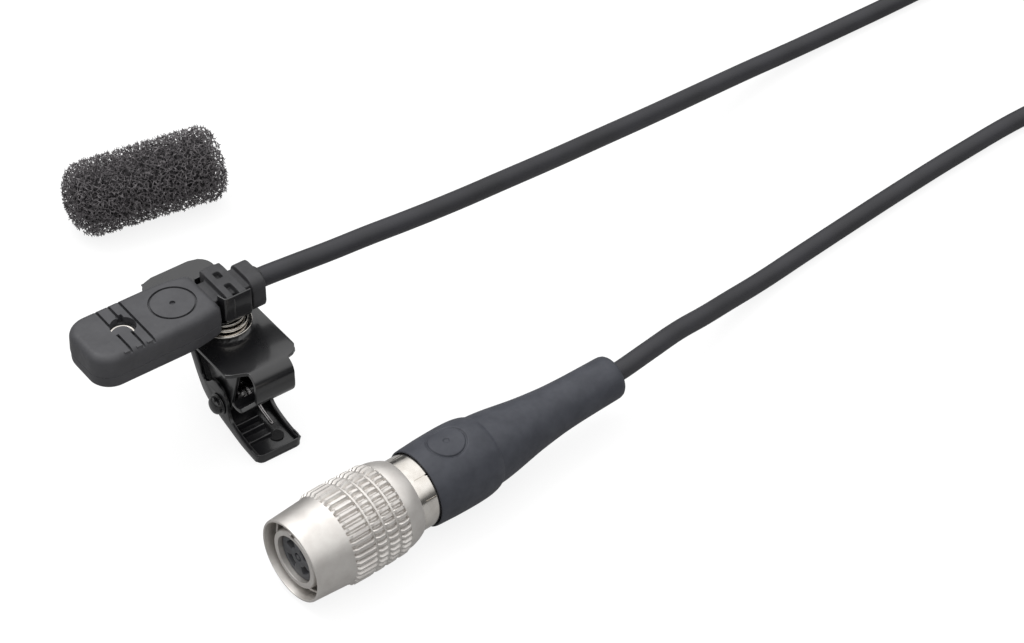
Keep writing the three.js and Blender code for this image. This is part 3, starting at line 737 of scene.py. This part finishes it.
# ---- strain relief ----
def strain_relief():
    top = HEAD_TOP
    flank = [(1.75, 14.3), (2.85, 15.3), (2.85, top - 0.1, 0.8), (2.1, top, 0.8)]
    outline = rounded([*flank, *[(-p[0], *p[1:]) for p in reversed(flank)]], 0.4, steps=5)
    collar = rounded([(-2.25, 13.2), (2.25, 13.2), (2.25, 17.5), (-2.25, 17.5)], 1.5, steps=8)
    profile = [(3.6, 0), (3.6, 1.75), (4.2, 1.6), (4.6, 1.24), (4.6, 0)]
    spout = turned("spout", rounded(profile, 0.2, False), 32)
    spout.data.transform(Matrix.Translation((0, 0, CABLE_Z)))
    parts = [
        extruded("bar", outline, "X", -1.02, -0.24),
        extruded("bar", outline, "X", 0.5, 1.4),
        block("bridge", (-0.6, 0.9), (-0.75, 0.45), (14.3, top)),
        block("bridge_end", (-0.6, 0.9), (1.5, 2.75), (14.3, top), 0.3),
        block("core", (-2.9, 3.0), (-1.75, 1.75), (14.3, 16.9)),
        block("tongue", (-3.6, -2.85), (-2.1, 2.1), (14.3, 16.9)),
        extruded("collar", collar, "X", 2.35, 4.0),
        spout,
    ]
    body = melted(merged(parts), 0.085, 10)
    pin_hole = turned("pin_hole", [(2.0, 0), (2.0, 0.42), (2.85, 0.42), (2.85, 0)], 24)
    pin_hole.data.transform(Matrix.Translation((0, -1.5, 14.1)))
    combine(body, [pin_hole], "DIFFERENCE")
    settle(body, HEAD_FRAME, "relief_rubber", "root", ["strain_relief"], angle=60)


# ---- holder and swivel ----
def clip_holder():
    """A thin sheet cradle under the neck, and its tall near wall, which curls in before the neck."""
    thick = 0.2
    side = 3.12
    bed = [(side, 16.4), (side, 14.9), (2.7, 14.2), (1.7, 13.62), (0, 13.6), (-1.7, 13.62), (-2.7, 14.2),
           (-side, 14.9)]
    cradle = ribbon("cradle", smooth_line(bed, 5), thick, "X", -1.5, 1.6)
    combine(cradle, [rod("hole", 0.86, (12, 15))], "DIFFERENCE")
    plan = [(1.6, -side), (0.6, -side), (-0.9, -side), (-1.45, 0.12 - side), (-1.62, 0.6 - side),
            (-1.75, -2.0)]
    wall = ribbon("wall", smooth_line(plan, 6), thick, "Z", 14.85, 17.86)
    bead = rod("bead", 0.1, (14.9, 17.5), -0.5, -side - 0.08, 16)
    sheet = merged([bevelled(p, 0.06, 3) for p in (cradle, wall)] + [bead])
    settle(sheet, HEAD_FRAME, "black_steel", "root", ["clip_holder"])


def swivel():
    def washer(name, outer, low, high, wave=0.0):
        profile = rounded([(low, 0.86), (low, outer), (high, outer), (high, 0.86)], 0.09, steps=3)
        piece = upright(turned(name, profile, 96))
        for vertex in piece.data.vertices:
            vertex.co.z += wave * sin(2 * atan2(vertex.co.y, vertex.co.x))
        return piece
    settle(washer("washer_flat", 2.95, 11.95, 12.18), HEAD_FRAME, "nickel", "clip", ["flat_washer"])
    settle(washer("washer_spring", 2.5, 12.38, 12.68, 0.04), HEAD_FRAME, "nickel", "clip", ["spring_washer"])
    profile = rounded([(10.3, 0), (10.3, 1.3), (10.8, 1.3), (10.8, 0.8), (12.95, 0.8), (12.92, 2.2),
                       (13.16, 2.2), (13.2, 2.0), (13.2, 1.5), (13.4, 1.3), (13.4, 0.8), (13.87, 0.8),
                       (13.87, 1.2), (14.1, 1.0), (14.1, 0)], 0.07, False)
    settle(upright(turned("rivet", profile, 64)), HEAD_FRAME, "nickel", "root", ["swivel_rivet"])


# ---- clip ----
def thick_sheet(name, rows, thickness, edge=0.09):
    """Rows of points across a sheet, thickened downwards, with broken edges."""
    count = len(rows[0])
    points = [p for row in rows for p in row]
    faces = []
    for r in range(len(rows) - 1):
        for i in range(count - 1):
            a = r * count + i
            faces.append((a, a + 1, a + count + 1, a + count))
    piece = mesh_of(name, points, faces)
    modified(piece, "SOLIDIFY", thickness=thickness, offset=-1, use_even_offset=True)
    outward(piece)
    return bevelled(piece, edge, 3, 50)


def plate_edges(y, z):
    """The plate's left and right edges at a place along it: wide plate, narrow lip, wider curl."""
    if z > 11 and y > 9.0:
        drop = max(0.0, y - 9.2)
        half = 2.3 + sqrt(max(0.0, 4.0 - drop ** 2))
        return -min(4.3, half), min(4.3, half)
    left = -4.3
    right = 4.3
    if z > 10.2:
        left += 2.15 * smooth_step(-6.7, -7.95, y)
        right -= 0.35 * smooth_step(-6.6, -7.4, y) + 1.3 * smooth_step(-7.5, -8.1, y)
    else:
        left = -2.15 - 1.6 * smooth_step(7.9, 7.2, z)
        right = 2.65 - 0.25 * smooth_step(7.6, 6.9, z)
    return left, right


def upper_plate():
    """The pressed plate: a flat top with a boss, and a lip turned down and back at the near end."""
    bend = 1.5
    front = -9.25
    line = [(11.2 + (front + bend - 11.2) * k / 56, PLATE_TOP) for k in range(57)]
    for k in range(1, 15):
        a = pi / 2 * k / 14 * 0.97
        line.append((front + bend - bend * sin(a), PLATE_TOP - bend * (1 - cos(a))))
    line += [(p.x, p.y) for p in smooth_line(
        [(front + 0.02, 9.5), (front, 8.7), (front + 0.12, 7.9), (front + 0.65, 7.15), (front + 1.6, 6.85),
         (front + 2.5, 7.0)], 4)]
    columns = 28
    grid = []
    for y, z in line:
        left, right = plate_edges(y, z)
        row = []
        for i in range(columns + 1):
            x = left + (right - left) * i / columns
            lift = 0.5 * smooth_step(3.0, 2.4, hypot(x, y)) if z > 11.3 else 0.0
            row.append((x, y, z + lift))
        grid.append(row)
    return thick_sheet("plate", grid[::-1], SHEET)


def smooth_step(start, end, value):
    t = min(1.0, max(0.0, (value - start) / (end - start)))
    return t * t * (3 - 2 * t)


def pierced(web):
    """A side web with the pivot pin's hole."""
    hole = turned("hole", [(-5, 0), (-5, PIVOT_R + 0.04), (5, PIVOT_R + 0.04), (5, 0)], 32)
    hole.data.transform(Matrix.Translation((0, PIVOT_Y, PIVOT_Z)))
    return combine(web, [hole], "DIFFERENCE")


def tooth(x, half, root, tip, y):
    """A pointed jaw tooth, from root to tip in height."""
    tip_half = half / 3
    outline = [(x - half, root), (x + half, root), (x + tip_half, tip), (x - tip_half, tip)]
    return extruded("tooth", outline, "Y", *y)


def upper_lever():
    plate = upper_plate()
    under = PLATE_TOP - SHEET + 0.15
    ear = [(-6.0, under), (-5.5, 8.6), (-4.3, 5.2), (-3.75, 3.6), (-3.4, 2.6), (-2.4, 2.05), (-1.3, 2.6),
           (-0.4, 4.3), (0.5, 6.6), (1.8, under)]
    ears = []
    for low in (-2.25, 1.8):
        flat = rounded(ear, 0.8, steps=5)
        web = extruded("ear", flat, "X", low, low + SHEET)
        ears.append(bevelled(pierced(web), 0.09, 3))
    teeth = []
    for k in range(9):
        teeth.append(bevelled(tooth(-3.3 + 0.82 * k, 0.36, 11.1, 10.4, (10.75, 11.15)), 0.05, 2))
    hole = rod("hole", 0.86, (9, 13))
    combine(plate, [hole], "DIFFERENCE")
    lever = merged([plate, *ears, *teeth])
    settle(lever, HEAD_FRAME, "black_steel", "clip", ["clip_upper_lever"])


LEVER_LINE = [
    (-9.8, 0.0), (-8.6, 0.0), (-6.3, 0.25), (-4.0, 0.85), (-2.1, 1.4), (0.3, 2.45),
    (1.5, 4.1), (2.9, 6.9), (4.4, 8.75), (7.0, 9.55), (10.5, 9.85),
]
WALL_TOP = [
    (-9.55, 0.95), (-8.4, 0.95), (-6.4, 1.3), (-4.75, 1.95), (-4.05, 2.9), (-3.85, 4.4),
    (-3.3, 5.5), (-2.4, 6.05), (-1.3, 5.95), (-0.5, 5.2), (0.3, 4.75), (0.95, 5.2),
    (1.35, 6.5), (2.6, 8.4), (4.0, 9.5),
]


def thumb_rim():
    """The wall round the thumb end: it follows the lever's rounded outline."""
    corner = 0.8
    half = LEVER_HALF - 0.05
    end = -9.8
    line = [(-half, -8.3)]
    for side in (-1, 1):
        for k in range(7):
            angle = pi / 2 * (k / 6 if side < 0 else 1 - k / 6)
            x = half - corner + corner * cos(angle)
            line.append((side * x, end + corner - corner * sin(angle)))
    line.append((half, -8.3))
    inner = []
    for x, y in line:
        inner.append((x * (half - 0.22) / half, max(y, end + 0.22) if y < -9 else y))
    outline = line + inner[::-1]
    return bevelled(extruded("rim", outline, "Z", 0.06, 1.1), 0.07, 3, 50)


def lower_lever():
    line = [(p.x, p.y) for p in smooth_line(LEVER_LINE, 5)]
    rows = []
    for i, (y, z) in enumerate(line):
        nose = max(0.0, -9.0 - y)
        half = LEVER_HALF - 0.05 - (0.8 - sqrt(max(0.0, 0.64 - nose ** 2)))
        row = []
        for k in range(15):
            x = -half + 2 * half * k / 14
            row.append((x, y, z + SHEET))
        rows.append(row)
    bed = thick_sheet("bed", rows, SHEET, 0.08)
    top = [(p.x, p.y) for p in smooth_line(WALL_TOP, 5)]
    base = [(y, z) for y, z in line if -9.3 < y < 4.2]
    pieces = [bed]
    for low in (-LEVER_HALF, LEVER_HALF - SHEET):
        wall = extruded("wall", base + top[::-1], "X", low, low + SHEET)
        pieces.append(bevelled(pierced(wall), 0.1, 3))
    pieces.append(thumb_rim())
    for y, top_z in ((-4.75, 1.75), (-5.85, 1.4), (-7.15, 1.0)):
        outline = [(y - 0.3, top_z - 1.0), (y + 0.3, top_z - 0.9), (y + 0.12, top_z), (y - 0.12, top_z)]
        rib = extruded("rib", rounded(outline, 0.1), "X", -2.45, 0.45)
        pieces.append(bevelled(rib, 0.1, 3))
    for k in range(7):
        pieces.append(tooth(-2.2 + 0.73 * k, 0.3, 10.15, 10.36, (10.05, 10.45)))
    lever = merged(pieces)
    settle(lever, HEAD_FRAME, "black_steel", "jaw", ["clip_lower_lever"])
    # A near-black disc in the thumb end's hole: painted shade for the hole's dark inside.
    hole = rod("thumb_hole_shade", 0.8, (0.05, 0.62), 0.95, -7.5, 40)
    settle(hole, HEAD_FRAME, "shadow", "jaw")


def pivot_and_spring():
    end = 2.84
    half = [(0, PIVOT_R), (end, PIVOT_R), (end, 1.25), (end + 0.16, 1.25), (end + 0.16, 1.02),
            (end + 0.62, 1.02), (end + 0.88, 0.78), (end + 1.02, 0.4), (end + 1.06, 0.0)]
    profile = rounded([(-s, r) for s, r in reversed(half)] + half[1:], 0.12, False, 3)
    pin = turned("pin", profile, 48)
    pin.data.transform(Matrix.Translation((0, PIVOT_Y, PIVOT_Z)))
    settle(pin, HEAD_FRAME, "black_steel", "clip", ["pivot_pin"])
    radius = PIVOT_R + 0.42
    turns = []
    for k in range(3 * 14 + 1):
        angle = pi + 2 * pi * k / 14
        turns.append((-1.35 + 1.8 * k / 42, *polar(radius, angle, PIVOT_Y, PIVOT_Z)))
    upper_leg = [(-1.95, -6.5, 7.6), (-1.75, -5.6, 6.5), (-1.5, -4.6, 5.3), (-1.4, -3.9, 4.3)]
    coil = wire("spring_coil", [*upper_leg, *turns], 0.55, 12, 3)
    settle(coil, HEAD_FRAME, "spring_steel", "clip", ["torsion_spring"])
    lower_leg = [(1.0, -3.5, 2.75), (1.02, -4.75, 2.1), (1.1, -5.7, 1.62), (1.14, -6.55, 1.35)]
    leg = wire("spring_leg", lower_leg, 0.5, 12, 5)
    settle(leg, HEAD_FRAME, "spring_steel", "jaw", ["torsion_spring_leg"])


# ---- windscreen ----
def foam_profile(u):
    """Half width of the foam, as a share of its middle, at a place along it from -1 (closed end) to 1."""
    if u < -0.66:
        t = min(1.0, (-0.66 - u) / 0.34)
        return max(0.0, 1 - t ** 2.4) ** 0.5
    if u > 0.84:
        t = (u - 0.84) / 0.16
        return 1 - 0.2 * t ** 2
    return 1.0


class Struts:
    """Thin three-sided bars and small knots, gathered into one mesh."""

    def __init__(self):
        self.points = []
        self.faces = []

    def bar(self, a, b, start_r, end_r):
        axis = (b - a).normalized()
        side = axis.orthogonal().normalized()
        other = axis.cross(side)
        first = len(self.points)
        for base, radius in ((a, start_r), (b, end_r)):
            for k in range(3):
                angle = 2 * pi * k / 3
                self.points.append(base + (side * cos(angle) + other * sin(angle)) * radius)
        for k in range(3):
            n = (k + 1) % 3
            self.faces.append((first + k, first + n, first + 3 + n, first + 3 + k))
        self.faces.append((first + 2, first + 1, first))
        self.faces.append((first + 3, first + 4, first + 5))

    def knot(self, centre, radius, turn):
        first = len(self.points)
        for corner in ((1, 1, 1), (1, -1, -1), (-1, 1, -1), (-1, -1, 1)):
            self.points.append(centre + turn @ (Vector(corner) * (radius / sqrt(3))))
        for face in ((0, 1, 2), (0, 3, 1), (0, 2, 3), (1, 3, 2)):
            self.faces.append(tuple(first + k for k in face))


class Cells:
    def __init__(self, spacing):
        self.spacing = spacing
        self.points = []
        self.grid = {}

    def key(self, point):
        return tuple(int(floor(c / self.spacing)) for c in point)

    def near(self, point):
        x, y, z = self.key(point)
        for dx in (-1, 0, 1):
            for dy in (-1, 0, 1):
                for dz in (-1, 0, 1):
                    yield from self.grid.get((x + dx, y + dy, z + dz), ())

    def offer(self, point):
        if any((self.points[i] - point).length < self.spacing for i in self.near(point)):
            return
        self.grid.setdefault(self.key(point), []).append(len(self.points))
        self.points.append(point)


def foam_cells(pick):
    """Random knots through the foam's outer part, thinning out at its skin."""
    cells = Cells(0.3)
    half = FOAM_LENGTH / 2
    for _ in range(52000):
        u = pick.uniform(-1, 1)
        width = foam_profile(u)
        inner = 0.6 if -0.8 < u < 0.86 else 0
        share = sqrt(pick.uniform(inner ** 2, 1))
        if width <= 0.05 or pick.random() < 3.2 * (share - 0.8):
            continue
        angle = pick.uniform(0, 2 * pi)
        cells.offer(Vector((
            u * half,
            share * width * FOAM_WIDTH / 2 * cos(angle),
            share * width * FOAM_HEIGHT / 2 * sin(angle),
        )))
    return cells


def foam_network(pick):
    """Struts between each knot and its nearest neighbours, and loose ends at the skin."""
    cells = foam_cells(pick)
    half = FOAM_LENGTH / 2
    mesh = Struts()
    done = set()
    for index, point in enumerate(cells.points):
        turn = Vector([pick.uniform(-1, 1) for _ in range(3)]).to_track_quat("Z", "Y")
        mesh.knot(point, pick.uniform(0.085, 0.13), turn)
        near = sorted(((cells.points[i] - point).length, i) for i in cells.near(point) if i != index)
        for distance, other in near[:3]:
            pair = (min(index, other), max(index, other))
            if pair in done:
                continue
            done.add(pair)
            mesh.bar(point, cells.points[other], 0.042, 0.042)
        reach = hypot(point.y / (FOAM_WIDTH / 2), point.z / (FOAM_HEIGHT / 2))
        at_end = abs(point.x) > 0.94 * half
        if reach > foam_profile(point.x / half) * 0.9 or at_end:
            away = Vector((copysign(1.2, point.x) if at_end else 0, point.y, point.z)).normalized()
            jitter = Vector([pick.uniform(-0.8, 0.8) for _ in range(3)])
            tip = point + (away + jitter).normalized() * pick.uniform(0.15, 0.32)
            tip.z = max(tip.z, -FOAM_HEIGHT / 2 + 0.03)
            mesh.bar(point, tip, 0.045, 0.03)
    return mesh


def windscreen():
    """Open-cell foam: a network of fine struts between random knots, round a dark core whose colour is painted
    shade for the depth of the foam.
    """
    network = foam_network(random.Random(11))
    cells = mesh_of("foam_cells", network.points, network.faces)
    settle(cells, FOAM_FRAME, "foam", "windscreen", ["windscreen"], angle=10)

    half = FOAM_LENGTH / 2
    rings = []
    for k in range(33):
        u = -0.84 + 1.7 * k / 32
        share = max(0.1, foam_profile(min(0.98, u * 1.12)) * 0.7)
        wide, tall = share * FOAM_WIDTH / 2, share * FOAM_HEIGHT / 2
        rings.append([(u * half, wide * cos(a), tall * sin(a)) for a in around(48)])
    # The core is a dark solid inside the foam; its colour is painted shade for the foam's depth.
    core = loft("foam_core", rings)
    settle(core, FOAM_FRAME, "foam_core", "windscreen", angle=60)


# ---- plug ----
FLUTES = 40


def coupling_sleeve():
    """The knurled sleeve: a smooth nose, a fluted band and three rings of teeth."""
    flute_steps = [0.0, 0.1, 0.2, 0.34, 0.66, 0.8, 0.9]
    angles = [2 * pi * (i + step) / FLUTES for i in range(FLUTES) for step in flute_steps]
    bands = [(4.72, 7.15), (7.5, 8.55), (8.95, 10.1), (10.5, 11.6)]
    def depth_at(station):
        for low, high in bands:
            if low - 0.01 <= station <= high + 0.01:
                return 0.36
        return 0.0
    def radius_at(station, radius, angle):
        depth = depth_at(station)
        if radius < 4.6 or not depth:
            return radius
        phase = (angle / (2 * pi) * FLUTES) % 1.0
        valley = smooth_step(0.3, 0.08, min(phase, 1 - phase))
        return radius - depth * valley
    outer = [(0.0, 4.42), (0.0, 4.56), (0.05, 4.62), (0.16, 4.66), (2.4, 4.8), (4.4, 4.93), (4.55, 4.97),
             (4.72, 5.02), (4.95, 5.24), (6.9, 5.27), (7.15, 5.12), (7.22, 4.99), (7.4, 4.99), (7.5, 5.1),
             (7.7, 5.24), (8.35, 5.24), (8.55, 5.1), (8.65, 4.96), (8.85, 4.96), (8.95, 5.08), (9.15, 5.22),
             (9.9, 5.2), (10.1, 5.06), (10.2, 4.92), (10.4, 4.92), (10.5, 5.04), (10.7, 5.17), (11.4, 5.14),
             (11.6, 5.0), (11.7, 4.92), (12.0, 4.92), (12.4, 4.88), (12.8, 4.78), (13.2, 4.65), (13.6, 4.49),
             (13.85, 4.36), (SLEEVE_END, 4.25)]
    inner = [(SLEEVE_END, 4.17), (7.45, 4.17), (7.45, 3.75), (7.0, 3.75), (7.0, 4.2), (1.6, 4.2),
             (1.45, 4.33), (0.12, 4.36)]
    sleeve = turned("sleeve", outer + inner, angles, radius_at)
    settle(sleeve, PLUG_FRAME, "satin_nickel", "sleeve", ["coupling_sleeve"], angle=28)


def plug_core():
    barrel = rounded([(0.42, 2.68), (0.42, 3.24), (0.62, 3.34, 0.05), (5.6, 3.34), (5.8, 3.55), (6.1, 3.55),
                      (6.1, 4.05), (6.7, 4.05), (6.7, 3.55), (13.4, 3.55), (13.4, 2.68)], 0.07, steps=3)
    shell = turned("barrel", barrel, 96)
    key = block("key", (0.3, 3.0), (-0.28, 0.28), (3.0, 3.6), 0.08)
    combine(shell, [key], "DIFFERENCE")
    settle(shell, PLUG_FRAME, "satin_nickel", "root", ["plug_shell"])

    face = rounded([(0.95, 0), (0.95, 2.6), (12.8, 2.6), (12.8, 0)], 0.1, False)
    block_piece = turned("contact_block", face, 64)
    cuts = []
    for i in range(4):
        middle = pi / 4 + i * pi / 2
        span = 0.42
        arc = [middle - span + 2 * span * k / 8 for k in range(9)]
        outside = [polar(1.95, a) for a in arc]
        inside = [polar(1.12, a) for a in reversed(arc)]
        cuts.append(extruded("slot", outside + inside, "X", 0.5, 12.2))
    eye = turned("eye", [(0.5, 0.3), (0.5, 0.5), (1.2, 0.5), (1.2, 0.3)], 32)
    cuts.append(eye)
    combine(block_piece, cuts, "DIFFERENCE")
    settle(bevelled(block_piece, 0.03, 2, 50), PLUG_FRAME, "insulator_plastic", "root", ["insulator"])


def rear_ferrule():
    profile = rounded([(12.5, 3.62), (12.5, 4.08), (16.3, 4.08), (16.3, 3.9), (19.6, 3.9), (19.6, 3.2),
                       (14.2, 3.2), (14.2, 3.62)], 0.06)
    ferrule = turned("ferrule", profile, 128)
    cuts = []
    for angle, wide, low, high in ((62, 0.12, 14.6, 15.9), (152, 0.12, 14.6, 15.9), (118, 0.16, 14.4, 17.0)):
        slit = block("slit", (low, high), (-wide / 2, wide / 2), (3.85, 4.4))
        slit.data.transform(Matrix.Rotation(radians(angle - 90), 4, "X"))
        cuts.append(slit)
    combine(ferrule, cuts, "DIFFERENCE")
    settle(ferrule, PLUG_FRAME, "nickel", "root", ["rear_ferrule"])


BOOT_OUTLINE = [
    (16.1, 4.2), (16.12, 4.3), (16.3, 4.36), (17.5, 4.43), (19.0, 4.5), (21.0, 4.53),
    (22.4, 4.5), (23.4, 4.4), (24.1, 4.24), (24.5, 4.08), (24.68, 3.98), (24.82, 3.95),
    (25.5, 3.9), (27.0, 3.72), (28.6, 3.47), (30.4, 3.18), (32.4, 2.93), (34.6, 2.72),
    (37.0, 2.6), (39.4, 2.54), (41.9, 2.5),
]


def boot():
    """The moulded boot, with a plain ring pressed into its barrel."""
    line = [(p.x, p.y) for p in smooth_line(BOOT_OUTLINE, 6)]
    ring_at, ring_angle, ring_r = 20.1, radians(91), 2.1
    fine = [17.6 + 0.055 * k for k in range(91)]
    outline = [p for p in line if p[0] < fine[0]]
    for station in fine:
        before = max((p for p in line if p[0] <= station), key=lambda p: p[0])
        after = min((p for p in line if p[0] > station), key=lambda p: p[0])
        t = (station - before[0]) / (after[0] - before[0])
        outline.append((station, before[1] + (after[1] - before[1]) * t))
    outline += [p for p in line if p[0] > fine[-1]]
    end = [(42.3, 2.48), (42.58, 2.4), (42.75, 2.26), (42.8, 2.08), (42.8, 1.5), (42.7, 1.28), (42.4, 1.16)]
    inside = [(27, 1.16), (26, 3.3), (19.9, 3.3), (19.9, 4.0), (16.5, 4.0), (16.5, 4.12), (16.2, 4.12)]
    step = 0.055 / 4.5
    spread = 2.5 / 4.5
    angles = []
    angle = 0.0
    while angle < 2 * pi - 1e-6:
        angles.append(angle)
        near = abs(angle - ring_angle) < spread
        angle += step if near else radians(4)
        if not near and ring_angle - spread < angle < ring_angle - spread + radians(4):
            angle = ring_angle - spread + 1e-6
    def radius_at(station, radius, angle):
        if radius < 4.2 or not fine[0] <= station <= fine[-1]:
            return radius
        away = hypot(station - ring_at, (angle - ring_angle) * radius)
        dip = max(0.0, 1 - abs(away - ring_r) / 0.16)
        dot = max(0.0, min(1.0, (0.36 - away) / 0.08))
        return radius - 0.15 * min(1, dip * 1.6) - 0.12 * dot
    piece = turned("boot_shell", outline + end + inside, angles, radius_at)
    settle(piece, PLUG_FRAME, "boot_rubber", "root", ["boot"], angle=50)


# ---- stage ----
def studio():
    """A pale floor and a soft overhead dome: light comes from above and the horizon stays dim."""
    ground = solid("floor", [(-3, -3, 0), (3, -3, 0), (3, 3, 0), (-3, 3, 0)], [(0, 1, 2, 3)])
    ground.location.z = -0.00006
    made = Nodes("floor")
    made.color(made.noise(400), (0.18, 0.18, 0.18, 1), (0.19, 0.19, 0.19, 1))
    made.set(Roughness=0.9, Specular_IOR_Level=0.0, Emission_Color=(1, 1, 1, 1))
    # The floor glows more towards the camera than towards the object.
    seen = made.tree.nodes.new("ShaderNodeLightPath")
    glow = made.tree.nodes.new("ShaderNodeMath")
    glow.operation = "MULTIPLY_ADD"
    glow.inputs[1].default_value = 0.62
    glow.inputs[2].default_value = 0.22
    made.link(seen.outputs["Is Camera Ray"], glow.inputs[0])
    made.link(glow.outputs[0], made.shader.inputs["Emission Strength"])
    ground.data.materials.append(made.material)

    world = bpy.data.worlds.new("studio")
    bpy.context.scene.world = world
    world.use_nodes = True
    nodes = world.node_tree.nodes
    link = world.node_tree.links.new
    dome = nodes["Background"]
    place = nodes.new("ShaderNodeTexCoord")
    split = nodes.new("ShaderNodeSeparateXYZ")
    link(place.outputs["Generated"], split.inputs["Vector"])
    levels = [(0.0, 0.05), (0.22, 0.1), (0.5, 0.8), (0.72, 0.95), (1.0, 1.0)]
    link(ramp_between(nodes, link, split.outputs["Z"], [(at, (v, v, v, 1)) for at, v in levels]),
         dome.inputs["Color"])
    dome.inputs["Strength"].default_value = 1.45
    backdrop = nodes.new("ShaderNodeBackground")
    backdrop.inputs["Color"].default_value = (1, 1, 1, 1)
    paths = nodes.new("ShaderNodeLightPath")
    mix = nodes.new("ShaderNodeMixShader")
    link(paths.outputs["Is Camera Ray"], mix.inputs["Fac"])
    link(dome.outputs["Background"], mix.inputs[1])
    link(backdrop.outputs["Background"], mix.inputs[2])
    link(mix.outputs["Shader"], nodes["World Output"].inputs["Surface"])

    data = bpy.data.lights.new("top", "AREA")
    data.size = 0.45
    data.energy = 2.2
    lamp = linked("top", data)
    lamp.visible_camera = False
    lamp.location = (-0.1, 0.3, 0.8)
    lamp.rotation_mode = "QUATERNION"
    lamp.rotation_quaternion = (-lamp.location).to_track_quat("-Z", "Y")
    scene = bpy.context.scene
    scene.view_settings.view_transform = "Standard"
    scene.view_settings.look = "None"


# ---- the CAD nodes that stay ----
def finish_cad_nodes():
    slots = {row["node"]: row["material_slot"] for row in frame["record"]["subparts"]}
    for name, node in frame["nodes"].items():
        if node.hide_render:
            continue
        node.data.materials.clear()
        node.data.materials.append(MATERIALS[slots[name]])


make_materials()
make_camera()
flex = cable()
cable_tie()
head_housing()
sound_port()
strain_relief()
clip_holder()
swivel()
upper_lever()
lower_lever()
pivot_and_spring()
windscreen()
coupling_sleeve()
plug_core()
rear_ferrule()
boot()
finish_cad_nodes()
studio()
